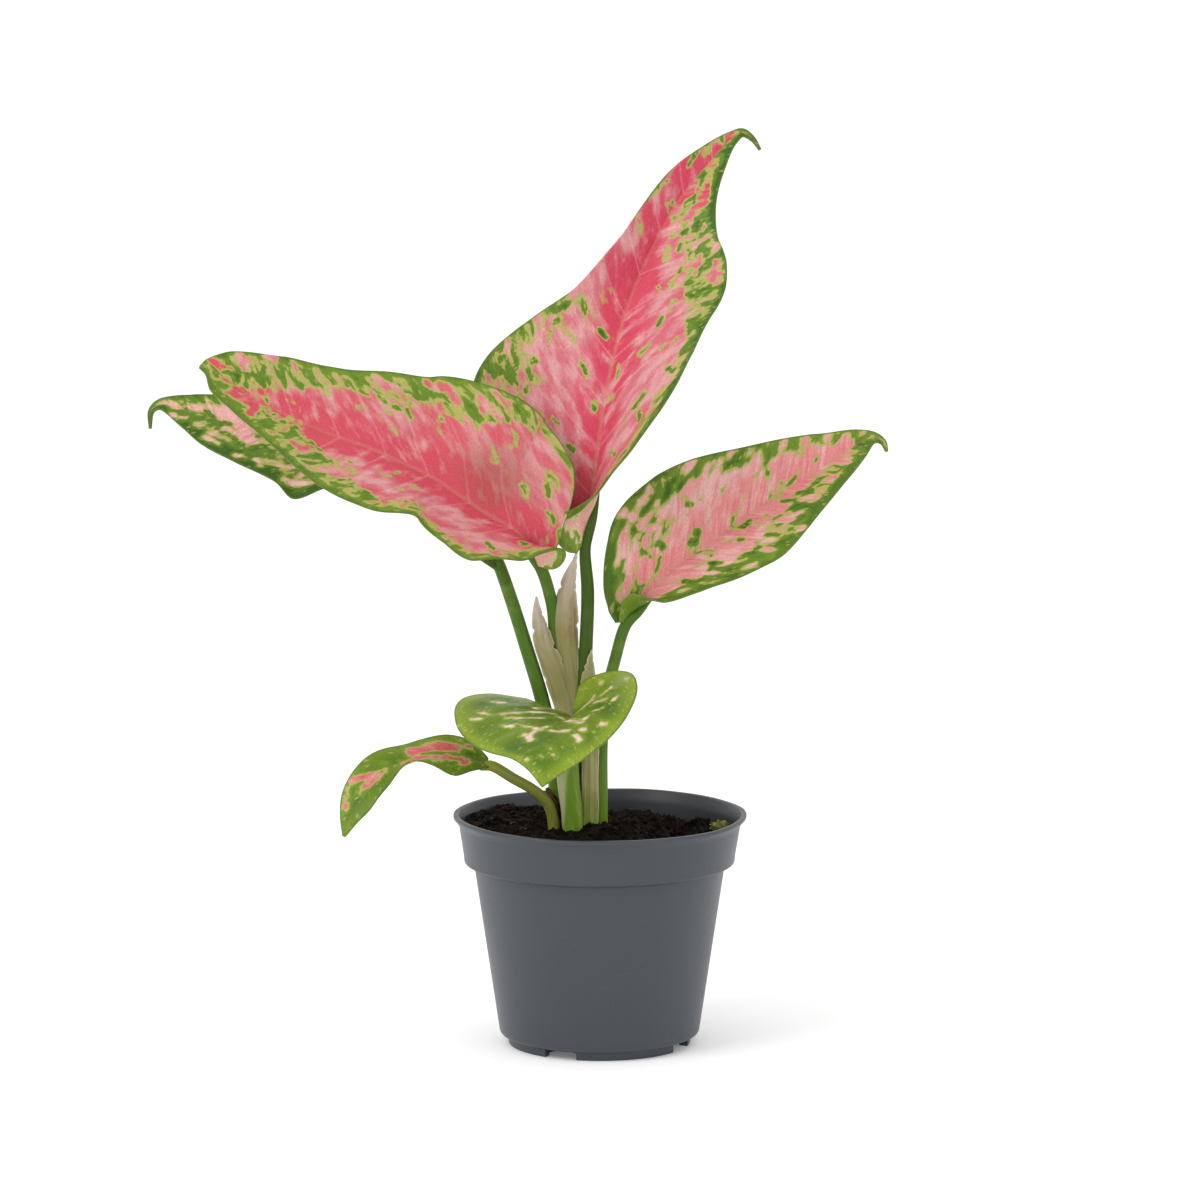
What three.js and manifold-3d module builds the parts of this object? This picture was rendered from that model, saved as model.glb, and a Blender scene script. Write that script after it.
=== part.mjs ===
// A young chinese evergreen in its nursery pot: one cane, six leaves on their stalks, pale sheaths where
// the stalks wrap each other, dark peat and a thin moulded pot.
// Millimetres, +Z up. The origin is on the pot's axis, on the surface that the pot stands on.
// +X is to the right and -Y is towards the viewer when the plant is seen from its front.

import * as THREE from 'three';
import { mergeVertices } from 'three/addons/utils/BufferGeometryUtils.js';
import Module from 'manifold-3d';

const wasm = await Module();
wasm.setup();

// ---------------------------------------------------------------- driving dimensions

// Touching pieces keep this gap.
const CLEARANCE = 0.3;

// The pot: a 6 cm nursery pot of thin moulded plastic. Radii and heights are of its outer side.
const POT = {
  height: 47.5,
  lip: { outer: 30, edge: 0.7, round: 0.2, inner: 29, under: 28.8, z: 45.6 },
  collar: { radius: 27.7, z: 38.9, shoulder: 0.8, drop: 1.3 },
  step: { radius: 25.5, z: 36.5 },
  foot: { radius: 20.4, z: 2.6, chamfer: 0.4, rise: 0.1 },
  ring: { outer: 18.6, inner: 16.8, height: 2 },
  channel: { underside: 1.2, top: 2.2 },
  disc: { radius: 9, slope: 0.7, top: 1 },
  wall: 0.8,
  // Heights of the bends on the inner side, and the width of the bend at the bottom.
  inner: { lip: 45.3, collar: 39.3, shoulder: 38, step: 36.8, foot: 3, bend: 0.8 },
  segments: 48,
};
const NOTCH = { count: 4, first: -25.5, width: 7, depth: 5, height: 1.6 };
const DRAIN = { count: 6, first: 10, radius: 2, circle: 13, sides: 12 };

// The peat stands a little below the lip. It falls to the right, is lumpy all over and heaped in front of
// the plant. The lumps are waves: height, how fast each runs along x and y, and shift.
const SOIL = {
  level: 43.2,
  fall: 0.08,
  coarse: { height: 0.42, x: 0.9, y: 0.8, shift: 1.3 },
  fine: { height: 0.25, x: 1.7, y: 1.1 },
  heap: { x: 2, y: -7, height: 3, spread: 6 },
  rings: 8,
};

// The short cane that the stalks grow from: points of its middle line, with the radius at each.
const CANE = [[-3.2, 1.2, 30, 2.2], [-3.2, 1.2, 41, 2.3], [-3.3, 1.2, 52, 1.9]];

// Leaf tissue, and how finely it is divided.
const BLADE = { thickness: 0.7, rib: 0.6, rows: 26, columns: 10 };
const SHEATH = { thickness: 0.7, rib: 0, rows: 10, columns: 6 };
const STALK = { sides: 8, step: 5 };
const CROWDING = 0.7;
// The waves of the right margin run ahead of the left ones by this much.
const OTHER_SIDE = 1.7;

// Each leaf has
//   stalk:  the middle line of its stalk from the peat to the blade, with the radius at each point
//   midrib: the middle line of its blade, from the stalk to the tip
//   facing: the way the upper face looks, at stations from 0 at the stalk to 1 at the tip
//   left and right, seen from above with the tip ahead: stations of
//           [place, half width, lift of that half in degrees, how far its margin is swept to the tip]
//   wave:   height, number and phase of the waves along the margins
const LEAVES = {
  top: {
    stalk: [
      [-3.3, 1.2, 52.3, 1.9], [-3.6, 0.8, 62, 1.7], [-3.4, 0.3, 71, 1.5],
      [-2.7, 0.2, 83, 1.4], [-2.4, 0.5, 93, 1.35], [-2.9, 1.2, 101.6, 1.15],
    ],
    midrib: [
      [-2.9, 0.8, 102.6], [-1, 2.5, 115], [0.8, 5, 129.3], [3.3, 9, 141.6], [6.6, 13, 152.2],
      [12.5, 17.5, 164.6], [17.2, 20, 172], [22.9, 22.5, 178.6], [27, 24, 182.9],
      [29.2, 24.5, 184.1], [31.2, 24.5, 182.9], [32.8, 24.2, 180.6],
    ],
    facing: [[0, [-0.3, -0.95, 0.1]], [1, [-0.3, -0.95, 0.1]]],
    left: [
      [0, 1.5, 5, 0], [0.02, 4.5, 8, 0], [0.06, 11.5, 18, -2], [0.12, 18, 20, -1], [0.2, 25.2, 8, 0],
      [0.27, 27.6, 5, 1], [0.35, 25.4, 8, 0], [0.43, 18.1, 16, 0], [0.5, 11.4, 30, 0], [0.6, 8.4, 48, 0],
      [0.7, 6.6, 42, 0], [0.8, 5, 32, 0], [0.88, 3, 25, 0], [0.94, 1.1, 20, 0], [1, 0.3, 0, 0],
    ],
    right: [
      [0, 1.4, 150, -2.1], [0.006, 3.3, 147, -2.7], [0.013, 5.1, 142, -2.5], [0.02, 6.4, 140, -2],
      [0.03, 7.4, 142, -0.7], [0.04, 7.4, 142, 0.3], [0.052, 6.4, 127, 0.4], [0.065, 6.3, 103, 0.5],
      [0.08, 7.2, 84, 0.5], [0.1, 9, 68, 0.5], [0.15, 14.4, 57, 1],
      [0.2, 17.6, 49, 0.5], [0.3, 21, 36, 0], [0.4, 21, 27, 0], [0.5, 20.3, 18, 0], [0.6, 18.8, 10, 0],
      [0.66, 16.6, 10, 0], [0.69, 14.4, 10, 0], [0.715, 11.8, 10, 0], [0.8, 6.4, 12, 0], [0.88, 2.8, 15, 0],
      [0.94, 1.1, 15, 0], [1, 0.3, 0, 0],
    ],
    wave: { height: 0.5, count: 4, phase: 0 },
  },
  left: {
    stalk: [
      [-6, 4.6, 36, 1.8], [-6.2, 4.3, 48, 1.8], [-6.8, 3.4, 60, 1.7], [-7.6, 2.4, 71, 1.6],
      [-8.9, 1.5, 83, 1.4], [-9.6, 1, 90, 1.25], [-11.7, -0.5, 97.6, 1.25],
    ],
    midrib: [
      [-12.3, -1.3, 98.6], [-13.8, -2.2, 102], [-16.8, -3.2, 105.7], [-22.9, -4, 109.5], [-27.9, -5, 113.1],
      [-34.3, -6, 117.5], [-40.2, -7.5, 120.5], [-45.6, -9, 123.3], [-55.1, -11, 127],
      [-67.7, -13.5, 133.3], [-77.6, -15, 140.1], [-79.6, -15.5, 140.6],
    ],
    facing: [[0, [0, -0.79, 0.62]], [1, [0, -0.79, 0.62]]],
    left: [
      [0, 2.6, 96, -0.5], [0.008, 4.7, 107, -1.2], [0.017, 6.5, 115, -1.2], [0.027, 7.7, 119, -0.9],
      [0.037, 8.2, 116, -0.8], [0.05, 8.1, 104, -1.1], [0.065, 8, 86, -1.5], [0.08, 8.3, 69, -2],
      [0.1, 9, 49, -2.9], [0.12, 10.4, 37, -3], [0.15, 13, 31, -1], [0.2, 16.2, 27, 0], [0.3, 15.3, 25, 0],
      [0.4, 14.3, 22, 0],
      [0.5, 16.2, 18, 0], [0.6, 15.7, 15, 0], [0.7, 12.6, 15, 0], [0.8, 7.8, 15, 0], [0.88, 5.7, 15, 0],
      [0.95, 4.6, 12, 0], [0.98, 2, 5, 0], [1, 0.3, 0, 0],
    ],
    right: [
      [0, 3, 25, 1], [0.04, 7.5, 25, 1], [0.07, 12, 25, 0.5], [0.09, 15.4, 25, 0], [0.11, 18.2, 25, -0.5],
      [0.14, 20.8, 24, -0.5], [0.2, 22.6, 23, 0], [0.3, 22.8, 22, 0], [0.4, 20.6, 20, 0], [0.5, 17.4, 18, 0],
      [0.6, 14.5, 16, 0], [0.7, 12.9, 15, 0], [0.8, 11.3, 15, 0], [0.88, 8.8, 15, 0], [0.95, 5.4, 12, 0],
      [0.98, 2.4, 5, 0], [1, 0.3, 0, 0],
    ],
    wave: { height: 0.6, count: 3, phase: 1 },
  },
  backLeft: {
    stalk: [
      [-8.6, 0.3, 36, 1.7], [-8.6, 0.3, 50, 1.7], [-9.5, 0.2, 60, 1.6], [-11.7, 0, 71, 1.5],
      [-15, 0.8, 82, 1.4], [-17.9, 2.6, 91, 1.35], [-20.7, 5, 98.4, 1.3],
    ],
    midrib: [
      [-20.6, 6.2, 99.8], [-30.6, 8, 111.5], [-41, 9.5, 118.6], [-53, 10.8, 122], [-63, 11.5, 123.4],
      [-73.4, 12.8, 125.3], [-83.5, 14, 128], [-89.6, 15, 129.3], [-91.4, 15, 128], [-91.7, 15, 124.4],
    ],
    facing: [[0, [0.2, -0.75, 0.66]], [0.3, [0, -0.75, 0.66]], [1, [0, -0.85, 0.5]]],
    left: [
      [0, 4, 20, -2], [0.1, 8, 18, 0], [0.2, 9.5, 15, 0], [0.35, 11, 12, 0], [0.48, 12.4, 8, 0],
      [0.555, 15.4, 6, 1], [0.61, 12.4, 12, 0], [0.71, 10, 15, 0], [0.8, 7.3, 15, 0], [0.88, 3.3, 15, 0],
      [0.94, 1, 10, 0], [1, 0.3, 0, 0],
    ],
    right: [
      [0, 4, 15, -2], [0.1, 8, 15, 0], [0.2, 10.5, 15, 0], [0.35, 11.5, 15, 0], [0.5, 11, 15, 0],
      [0.6, 9.5, 15, 0], [0.7, 7.5, 15, 0], [0.8, 5.2, 15, 0], [0.88, 3, 15, 0], [0.94, 1, 10, 0],
      [1, 0.3, 0, 0],
    ],
    wave: { height: 0.5, count: 4, phase: 2 },
  },
  right: {
    stalk: [
      [0.3, 0.4, 36, 1.4], [0.3, 0.5, 52, 1.4], [0.4, 0.8, 62, 1.35], [1.3, 1.2, 71, 1.25],
      [3.2, 1.7, 79, 1.2], [5.1, 2.25, 85.4, 1.2],
    ],
    midrib: [
      [5.2, 2, 86.2], [11.3, 3, 93.7], [16.1, 4, 98.1], [22.2, 5, 102.1], [28.1, 6, 106.6],
      [34.2, 7, 110.6], [46.9, 9, 118.3], [55.4, 10.5, 123.1], [57.7, 11, 122.2], [58.5, 11, 120.2],
    ],
    facing: [[0, [0, -0.82, 0.57]], [1, [0, -0.82, 0.57]]],
    left: [
      [0, 1.6, 25, -1.2], [0.02, 4, 24, -1.6], [0.03, 5, 24, -1.5], [0.045, 6.5, 22, -1.4],
      [0.06, 8, 22, -1], [0.12, 12, 22, 0], [0.2, 16, 22, 0], [0.3, 17.4, 22, 0],
      [0.4, 16.8, 22, 0], [0.5, 14.5, 22, 0], [0.6, 11.8, 22, 0], [0.7, 9, 22, 0], [0.8, 6.2, 22, 0],
      [0.88, 3.6, 20, 0], [0.94, 1.2, 12, 0], [1, 0.3, 0, 0],
    ],
    right: [
      [0, 1.5, 120, -0.6], [0.01, 3.2, 117, 0.3], [0.02, 4.6, 115, 1.6], [0.03, 5.4, 108, 2.6],
      [0.045, 6.2, 97, 2.8], [0.06, 6.6, 85, 2.3], [0.08, 7.2, 72, 1.6], [0.12, 9, 50, 0.2],
      [0.2, 11.3, 36, 0], [0.3, 12.8, 28, 0],
      [0.4, 14, 24, 0], [0.5, 14.8, 22, 0], [0.6, 13, 22, 0], [0.7, 9.8, 22, 0], [0.8, 6.4, 22, 0],
      [0.88, 4, 20, 0], [0.94, 1.4, 12, 0], [1, 0.3, 0, 0],
    ],
    wave: { height: 0.5, count: 3, phase: 0.5 },
  },
  front: {
    stalk: [
      [-5.3, -3.9, 36, 2], [-5.6, -4.1, 48, 2.15], [-6.4, -4.5, 56, 2.3], [-6.1, -5, 63.3, 1.8],
      [-5.5, -6, 67.3, 1.3],
    ],
    midrib: [
      [-5.4, -6.3, 68.5], [-6.5, -16, 69.5], [-8.5, -27, 68.6], [-10, -35.5, 65.6], [-11.3, -39.5, 60.2],
    ],
    facing: [[0, [-0.05, -0.1, 1]], [0.5, [0, -0.35, 1]], [1, [0, -1, 0.3]]],
    left: [
      [0, 5.8, 80, -3], [0.05, 9.4, 60, -3.6], [0.12, 13.4, 42, -4.2], [0.3, 16.1, 30, -2], [0.5, 15, 20, 0],
      [0.65, 11.8, 10, 0], [0.8, 7, 2, 0], [0.92, 2.8, -4, 0], [1, 0.3, 0, 0],
    ],
    right: [
      [0, 10.5, 19, -5], [0.12, 17.8, 15, -5], [0.3, 22.4, 7, -2], [0.5, 21, -4, 0], [0.65, 16.6, -10, 0],
      [0.8, 10, -14, 0], [0.92, 3.5, -8, 0], [1, 0.3, 0, 0],
    ],
    wave: { height: 0.4, count: 2, phase: 0 },
  },
  lowLeft: {
    stalk: [
      [-9.6, -3, 36, 1.2], [-9.4, -2.9, 46.5, 1.2], [-10.6, -3.4, 50.2, 1.15], [-13.4, -4.2, 53, 1.1],
      [-17.4, -5, 55.5, 1.1], [-22, -5.8, 58.3, 1.1],
    ],
    midrib: [
      [-22.5, -6, 58.9], [-29.5, -8.5, 61], [-35.5, -10.5, 61.2], [-41.3, -12.5, 59.3],
      [-45.8, -14.5, 55.8], [-49.4, -16.5, 50.8], [-51.4, -17.5, 45.9],
    ],
    facing: [
      [0, [0, -0.6, 0.8]], [0.2, [0, -0.5, 0.85]], [0.4, [0, -0.25, 1]], [0.6, [-0.5, -0.8, 0.35]],
      [1, [-0.4, -0.9, 0]],
    ],
    left: [
      [0, 1.2, 0, 0], [0.08, 2.8, -10, 0], [0.2, 4.8, -20, 0], [0.35, 2.8, -20, 0], [0.47, 1.2, 0, 0],
      [0.65, 3.2, 10, 0], [0.8, 3.4, 10, 0], [0.92, 1.6, 5, 0], [1, 0.3, 0, 0],
    ],
    right: [
      [0, 1.2, 10, 0], [0.08, 4, 10, 0], [0.2, 5.4, 10, 0], [0.35, 5, 10, 0], [0.5, 5, 12, 0],
      [0.65, 5, 12, 0], [0.8, 4.2, 10, 0], [0.92, 2, 5, 0], [1, 0.3, 0, 0],
    ],
    wave: { height: 0.3, count: 3, phase: 0 },
  },
};

// The sheaths are the thin pale wings of a stalk, which wrap the younger stalks beside it and end in a
// torn point. They are laid out as the blades are, from the foot to the point.
const SHEATHS = {
  backLeft: {
    midrib: [
      [-6.9, -1.9, 60.5], [-7, -2, 68.5], [-8, -1.9, 73.5], [-9.8, -1.6, 78.4], [-11.2, -1.2, 82.3],
      [-11.8, -0.9, 85], [-12.6, -0.4, 88.3], [-12.8, 0.2, 92],
    ],
    facing: [[0, [0.1, -1, 0]], [1, [0.1, -1, 0]]],
    left: [[0, 1.3, -20, 0], [0.4, 2.4, -25, 0], [0.75, 2, -25, 0], [0.87, 1.2, -20, 0], [1, 0.2, 0, 0]],
    right: [[0, 1.3, -20, 0], [0.4, 2.5, -25, 0], [0.75, 2.2, -25, 0], [0.87, 1.3, -20, 0], [1, 0.2, 0, 0]],
    wave: { height: 0.1, count: 3, phase: 0 },
  },
  left: {
    midrib: [
      [-5.4, -0.9, 66.5], [-5.6, -0.9, 73], [-6.4, -0.9, 79], [-7, -0.9, 85], [-7, -0.7, 90],
      [-6.3, -0.4, 94.5], [-5.2, 0, 98.5], [-4.6, 0.2, 101],
    ],
    facing: [[0, [-0.1, -1, 0]], [1, [-0.1, -1, 0]]],
    left: [[0, 1.3, -20, 0], [0.3, 2.5, -25, 0], [0.6, 3.1, -28, 0], [0.78, 2, -25, 0], [1, 0.2, 0, 0]],
    right: [[0, 1, -20, 0], [0.3, 2, -25, 0], [0.6, 3, -28, 0], [0.78, 1.8, -25, 0], [1, 0.2, 0, 0]],
    wave: { height: 0.15, count: 3, phase: 1 },
  },
  right: {
    midrib: [
      [-2.1, -1.8, 40], [-1.8, -1.8, 50], [-1.8, -1.9, 59], [-2.1, -2, 69.5], [-2, -1.9, 74],
      [-1.9, -1.6, 78], [-1.6, -1.2, 81.3],
    ],
    facing: [[0, [0.1, -1, 0]], [1, [0.1, -1, 0]]],
    left: [[0, 1.8, -10, 0], [0.5, 1.9, -15, 0], [0.72, 2.6, -25, 0], [0.88, 1.5, -25, 0], [1, 0.2, 0, 0]],
    right: [[0, 1.7, -10, 0], [0.5, 1.8, -15, 0], [0.72, 2.4, -30, 0], [0.88, 1.3, -25, 0], [1, 0.2, 0, 0]],
    wave: { height: 0.1, count: 3, phase: 2 },
  },
};

// The withered foot of an older leaf, left of the plant.
const STUB = [[-7.9, -2, 38, 0.5], [-8, -2, 46.8, 0.55], [-9, -2.1, 50.2, 0.6], [-10.7, -2, 53, 0.35]];

// Colours, from the plant in daylight.
const FINISH = {
  pot: { color: 0x555b62, roughness: 0.55 },
  soil: { color: 0x2b211b, roughness: 0.95 },
  cane: { color: 0x8c9a5c, roughness: 0.6 },
  stalk: { color: 0x5a8a2e, roughness: 0.5 },
  blade: { color: 0xdd6b7d, roughness: 0.45 },
  sheath: { color: 0xd8c8b4, roughness: 0.6 },
  stub: { color: 0x3b2619, roughness: 0.8 },
};

// ---------------------------------------------------------------- solids

function withoutFlatTriangles(geometry) {
  const index = [];
  const old = geometry.index.array;
  for (let i = 0; i < old.length; i += 3) {
    const [a, b, c] = [old[i], old[i + 1], old[i + 2]];
    if (a !== b && b !== c && c !== a) {
      index.push(a, b, c);
    }
  }
  geometry.setIndex(index);
  return geometry;
}

function pointsOnly(geometry) {
  const bare = geometry.clone();
  for (const name of Object.keys(bare.attributes)) {
    if (name !== 'position') {
      bare.deleteAttribute(name);
    }
  }
  return withoutFlatTriangles(mergeVertices(bare, 1e-4));
}

function toSolid(geometry) {
  const merged = pointsOnly(geometry);
  const mesh = new wasm.Mesh({
    numProp: 3,
    vertProperties: new Float32Array(merged.attributes.position.array),
    triVerts: new Uint32Array(merged.index.array),
  });
  return new wasm.Manifold(mesh);
}

function toGeometry(solid) {
  const mesh = solid.getMesh();
  const geometry = new THREE.BufferGeometry();
  geometry.setAttribute('position', new THREE.BufferAttribute(new Float32Array(mesh.vertProperties), 3));
  geometry.setIndex(new THREE.BufferAttribute(new Uint32Array(mesh.triVerts), 1));
  return geometry;
}

// Cuts the tools out of a solid and keeps its largest piece, without the loose scraps.
function carve(solid, tools) {
  let left = solid;
  for (const tool of tools) {
    left = left.subtract(tool);
  }
  const pieces = left.decompose();
  return pieces.reduce((best, piece) => (piece.volume() > best.volume() ? piece : best));
}

// ---------------------------------------------------------------- curves

function vector(list) {
  return new THREE.Vector3(list[0], list[1], list[2]);
}

function smoothCurve(points) {
  return new THREE.CatmullRomCurve3(points.map(vector), false, 'centripetal');
}

// A smooth value between stations. Each station is [place, value, ...], and column picks the value.
function between(stations, place, column = 1) {
  const last = stations.length - 1;
  if (place <= stations[0][0]) {
    return stations[0][column];
  }
  if (place >= stations[last][0]) {
    return stations[last][column];
  }
  let i = 0;
  while (stations[i + 1][0] < place) {
    i += 1;
  }
  const slope = (k) => {
    const before = stations[Math.max(k - 1, 0)];
    const after = stations[Math.min(k + 1, last)];
    return (after[column] - before[column]) / (after[0] - before[0]);
  };
  const span = stations[i + 1][0] - stations[i][0];
  const s = (place - stations[i][0]) / span;
  const ease = s * s * (3 - 2 * s);
  const flat = stations[i][column] * (1 - ease) + stations[i + 1][column] * ease;
  return flat + span * s * (1 - s) * ((1 - s) * slope(i) - s * slope(i + 1));
}

// The middle line at one place, with the directions along it, out of its upper face and to its right.
function frameAt(curve, facing, place) {
  const along = curve.getTangentAt(place);
  const face = new THREE.Vector3();
  for (let axis = 0; axis < 3; axis += 1) {
    const stations = facing.map(([station, way]) => [station, way[axis]]);
    face.setComponent(axis, between(stations, place));
  }
  face.addScaledVector(along, -face.dot(along)).normalize();
  const side = new THREE.Vector3().crossVectors(along, face);
  return { origin: curve.getPointAt(place), along, face, side };
}

// ---------------------------------------------------------------- blades and sheaths

// A point of the middle surface. Across runs from -1 at the left margin to 1 at the right one.
function surfacePoint(shape, curve, place, across, grow) {
  const { origin, along, face, side } = frameAt(curve, shape.facing, place);
  const half = across < 0 ? shape.left : shape.right;
  const reach = Math.abs(across);
  const width = between(half, place, 1) + grow;
  const lift = THREE.MathUtils.degToRad(between(half, place, 2));
  const sweep = between(half, place, 3);
  const { height, count, phase } = shape.wave;
  const ripple = Math.sin(2 * Math.PI * count * place + phase + (across < 0 ? 0 : OTHER_SIDE));
  const raise = height * ripple * Math.sin(Math.PI * place) * reach * reach;
  return origin
    .addScaledVector(side, width * across * Math.cos(lift))
    .addScaledVector(face, width * reach * Math.sin(lift) + raise)
    .addScaledVector(along, sweep * reach * reach);
}

// Rows stand closer together at both ends, where the outline turns quickly.
function rowPlace(row, rows) {
  const even = row / rows;
  return even - (CROWDING * Math.sin(2 * Math.PI * even)) / (2 * Math.PI);
}

// A thin closed body on both sides of a middle surface, split into triangles alike on both faces.
function thinBody(shape, { rows, columns, thickness, rib }, grow = 0) {
  const curve = smoothCurve(shape.midrib);
  const middle = [];
  for (let row = 0; row <= rows; row += 1) {
    const line = [];
    for (let column = 0; column <= columns; column += 1) {
      line.push(surfacePoint(shape, curve, rowPlace(row, rows), -1 + (2 * column) / columns, grow));
    }
    middle.push(line);
  }
  const at = (row, column) => {
    const r = THREE.MathUtils.clamp(row, 0, rows);
    return middle[r][THREE.MathUtils.clamp(column, 0, columns)];
  };
  const positions = [];
  for (const face of [1, -1]) {
    for (let row = 0; row <= rows; row += 1) {
      for (let column = 0; column <= columns; column += 1) {
        const ahead = at(row + 1, column).clone().sub(at(row - 1, column));
        const over = at(row, column + 1).clone().sub(at(row, column - 1));
        const out = over.cross(ahead).normalize();
        const ridge = face < 0 && column === columns / 2 ? rib * (1 - row / rows) : 0;
        const p = at(row, column).clone().addScaledVector(out, face * (thickness / 2 + grow + ridge));
        positions.push(p.x, p.y, p.z);
      }
    }
  }
  const width = columns + 1;
  const under = (rows + 1) * width;
  const index = [];
  for (let row = 0; row < rows; row += 1) {
    for (let column = 0; column < columns; column += 1) {
      const a = row * width + column;
      const [b, c, d] = [a + 1, a + width + 1, a + width];
      index.push(a, b, c, a, c, d);
      index.push(under + a, under + c, under + b, under + a, under + d, under + c);
    }
  }
  const wall = (from, to) => {
    index.push(from, under + from, under + to, from, under + to, to);
  };
  for (let row = 0; row < rows; row += 1) {
    wall((row + 1) * width, row * width);
    wall(row * width + columns, (row + 1) * width + columns);
  }
  for (let column = 0; column < columns; column += 1) {
    wall(column, column + 1);
    wall(rows * width + column + 1, rows * width + column);
  }
  const geometry = new THREE.BufferGeometry();
  geometry.setAttribute('position', new THREE.Float32BufferAttribute(positions, 3));
  geometry.setIndex(index);
  return geometry;
}

// ---------------------------------------------------------------- stalks

// A round tube through points that each carry the radius there.
function tube(points, grow = 0) {
  const curve = smoothCurve(points);
  const steps = Math.max(4, Math.round(curve.getLength() / STALK.step));
  const circle = new THREE.Shape();
  circle.absarc(0, 0, 1, 0, 2 * Math.PI, false);
  const geometry = new THREE.ExtrudeGeometry(circle, {
    steps,
    curveSegments: STALK.sides / 2,
    extrudePath: curve,
  });
  const centres = curve.getSpacedPoints(steps);
  const marks = points.map(vector);
  const radii = centres.map((centre) => {
    const reaches = marks.map((mark) => mark.distanceTo(centre));
    const near = reaches.indexOf(Math.min(...reaches));
    const ends = [near - 1, near + 1].filter((k) => k >= 0 && k < marks.length);
    const next = ends.reduce((best, k) => (reaches[k] < reaches[best] ? k : best));
    const share = reaches[near] / (reaches[near] + reaches[next]);
    return THREE.MathUtils.lerp(points[near][3], points[next][3], share) + grow;
  });
  const position = geometry.attributes.position;
  const p = new THREE.Vector3();
  for (let i = 0; i < position.count; i += 1) {
    p.fromBufferAttribute(position, i);
    const reaches = centres.map((centre) => centre.distanceTo(p));
    const step = reaches.indexOf(Math.min(...reaches));
    p.sub(centres[step]).multiplyScalar(radii[step]).add(centres[step]);
    position.setXYZ(i, p.x, p.y, p.z);
  }
  return geometry;
}

// ---------------------------------------------------------------- pot and soil

function turned(profile) {
  const points = profile.map(([radius, z]) => new THREE.Vector2(radius, z));
  return new THREE.LatheGeometry(points, POT.segments).rotateX(Math.PI / 2);
}

function potSolid() {
  const { height, lip, collar, step, foot, ring, channel, disc, wall, inner } = POT;
  const body = toSolid(
    turned([
      [0, 0],
      [disc.radius, 0],
      [disc.radius + disc.slope, channel.underside],
      [ring.inner - disc.slope, channel.underside],
      [ring.inner, 0],
      [ring.outer, 0],
      [ring.outer, ring.height],
      [foot.radius - foot.chamfer, ring.height + foot.rise],
      [foot.radius, foot.z],
      [step.radius, step.z],
      [collar.radius - collar.shoulder, collar.z - collar.drop],
      [collar.radius, collar.z],
      [lip.under, lip.z],
      [lip.outer, height - lip.edge],
      [lip.outer, height - lip.round],
      [lip.outer - lip.round, height],
      [lip.inner, height],
      [lip.under - wall, inner.lip],
      [collar.radius - wall, inner.collar],
      [collar.radius - collar.shoulder - wall, inner.shoulder],
      [step.radius - wall, inner.step],
      [foot.radius - wall, inner.foot],
      [foot.radius - wall - inner.bend, channel.top],
      [disc.radius + disc.slope, channel.top],
      [disc.radius, disc.top],
      [0, disc.top],
    ]),
  );
  const cuts = [];
  for (let i = 0; i < NOTCH.count; i += 1) {
    const angle = THREE.MathUtils.degToRad(NOTCH.first + (360 * i) / NOTCH.count);
    const notch = new THREE.BoxGeometry(NOTCH.width, NOTCH.depth, 2 * NOTCH.height);
    notch.translate(0, -ring.outer, 0).rotateZ(angle);
    cuts.push(toSolid(notch));
  }
  for (let i = 0; i < DRAIN.count; i += 1) {
    const angle = THREE.MathUtils.degToRad(DRAIN.first + (360 * i) / DRAIN.count);
    const hole = new THREE.CylinderGeometry(DRAIN.radius, DRAIN.radius, 3 * channel.top, DRAIN.sides);
    hole.rotateX(Math.PI / 2).translate(DRAIN.circle, 0, channel.top).rotateZ(angle);
    cuts.push(toSolid(hole));
  }
  return carve(body, cuts);
}

// Height of the peat above its level.
function peatRise(x, y) {
  const { fall, coarse, fine, heap } = SOIL;
  const lumps =
    coarse.height * Math.sin(coarse.x * x + coarse.shift) * Math.sin(coarse.y * y) +
    fine.height * Math.sin(fine.x * x - fine.y * y);
  const reach = ((x - heap.x) ** 2 + (y - heap.y) ** 2) / heap.spread ** 2;
  return lumps - fall * x + heap.height * Math.exp(-reach);
}

function soilSolid(stems) {
  const { collar, step, foot, channel, disc, lip, wall, inner } = POT;
  const gap = wall + CLEARANCE;
  const flare = (lip.under - collar.radius) / (inner.lip - inner.collar);
  const edgeAt = (z) => collar.radius - gap + (z - inner.collar) * flare;
  const edge = edgeAt(SOIL.level);
  const profile = [
    [0, disc.top + CLEARANCE],
    [disc.radius - CLEARANCE, disc.top + CLEARANCE],
    [disc.radius + disc.slope - CLEARANCE, channel.top + CLEARANCE],
    [foot.radius - gap - inner.bend, channel.top + CLEARANCE],
    [foot.radius - gap, inner.foot + CLEARANCE],
    [step.radius - gap, inner.step + CLEARANCE],
    [collar.radius - collar.shoulder - gap, inner.shoulder + CLEARANCE],
    [collar.radius - gap, inner.collar],
  ];
  for (let i = 0; i <= SOIL.rings; i += 1) {
    profile.push([edge * (1 - i / SOIL.rings), SOIL.level]);
  }
  const geometry = turned(profile);
  const position = geometry.attributes.position;
  for (let i = 0; i < position.count; i += 1) {
    const [x, y, z] = [position.getX(i), position.getY(i), position.getZ(i)];
    if (z === Math.fround(SOIL.level)) {
      const height = z + peatRise(x, y);
      const inward = Math.min(1, edgeAt(height) / Math.max(Math.hypot(x, y), CLEARANCE));
      position.setXYZ(i, x * inward, y * inward, height);
    }
  }
  return carve(toSolid(geometry), stems);
}

// ---------------------------------------------------------------- the plant

const plant = new THREE.Group();

function addPiece(name, solid, finish) {
  const { color, roughness } = FINISH[finish];
  const material = new THREE.MeshStandardMaterial({ color, roughness, metalness: 0 });
  const mesh = new THREE.Mesh(toGeometry(solid), material);
  mesh.name = name;
  plant.add(mesh);
}

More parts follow.
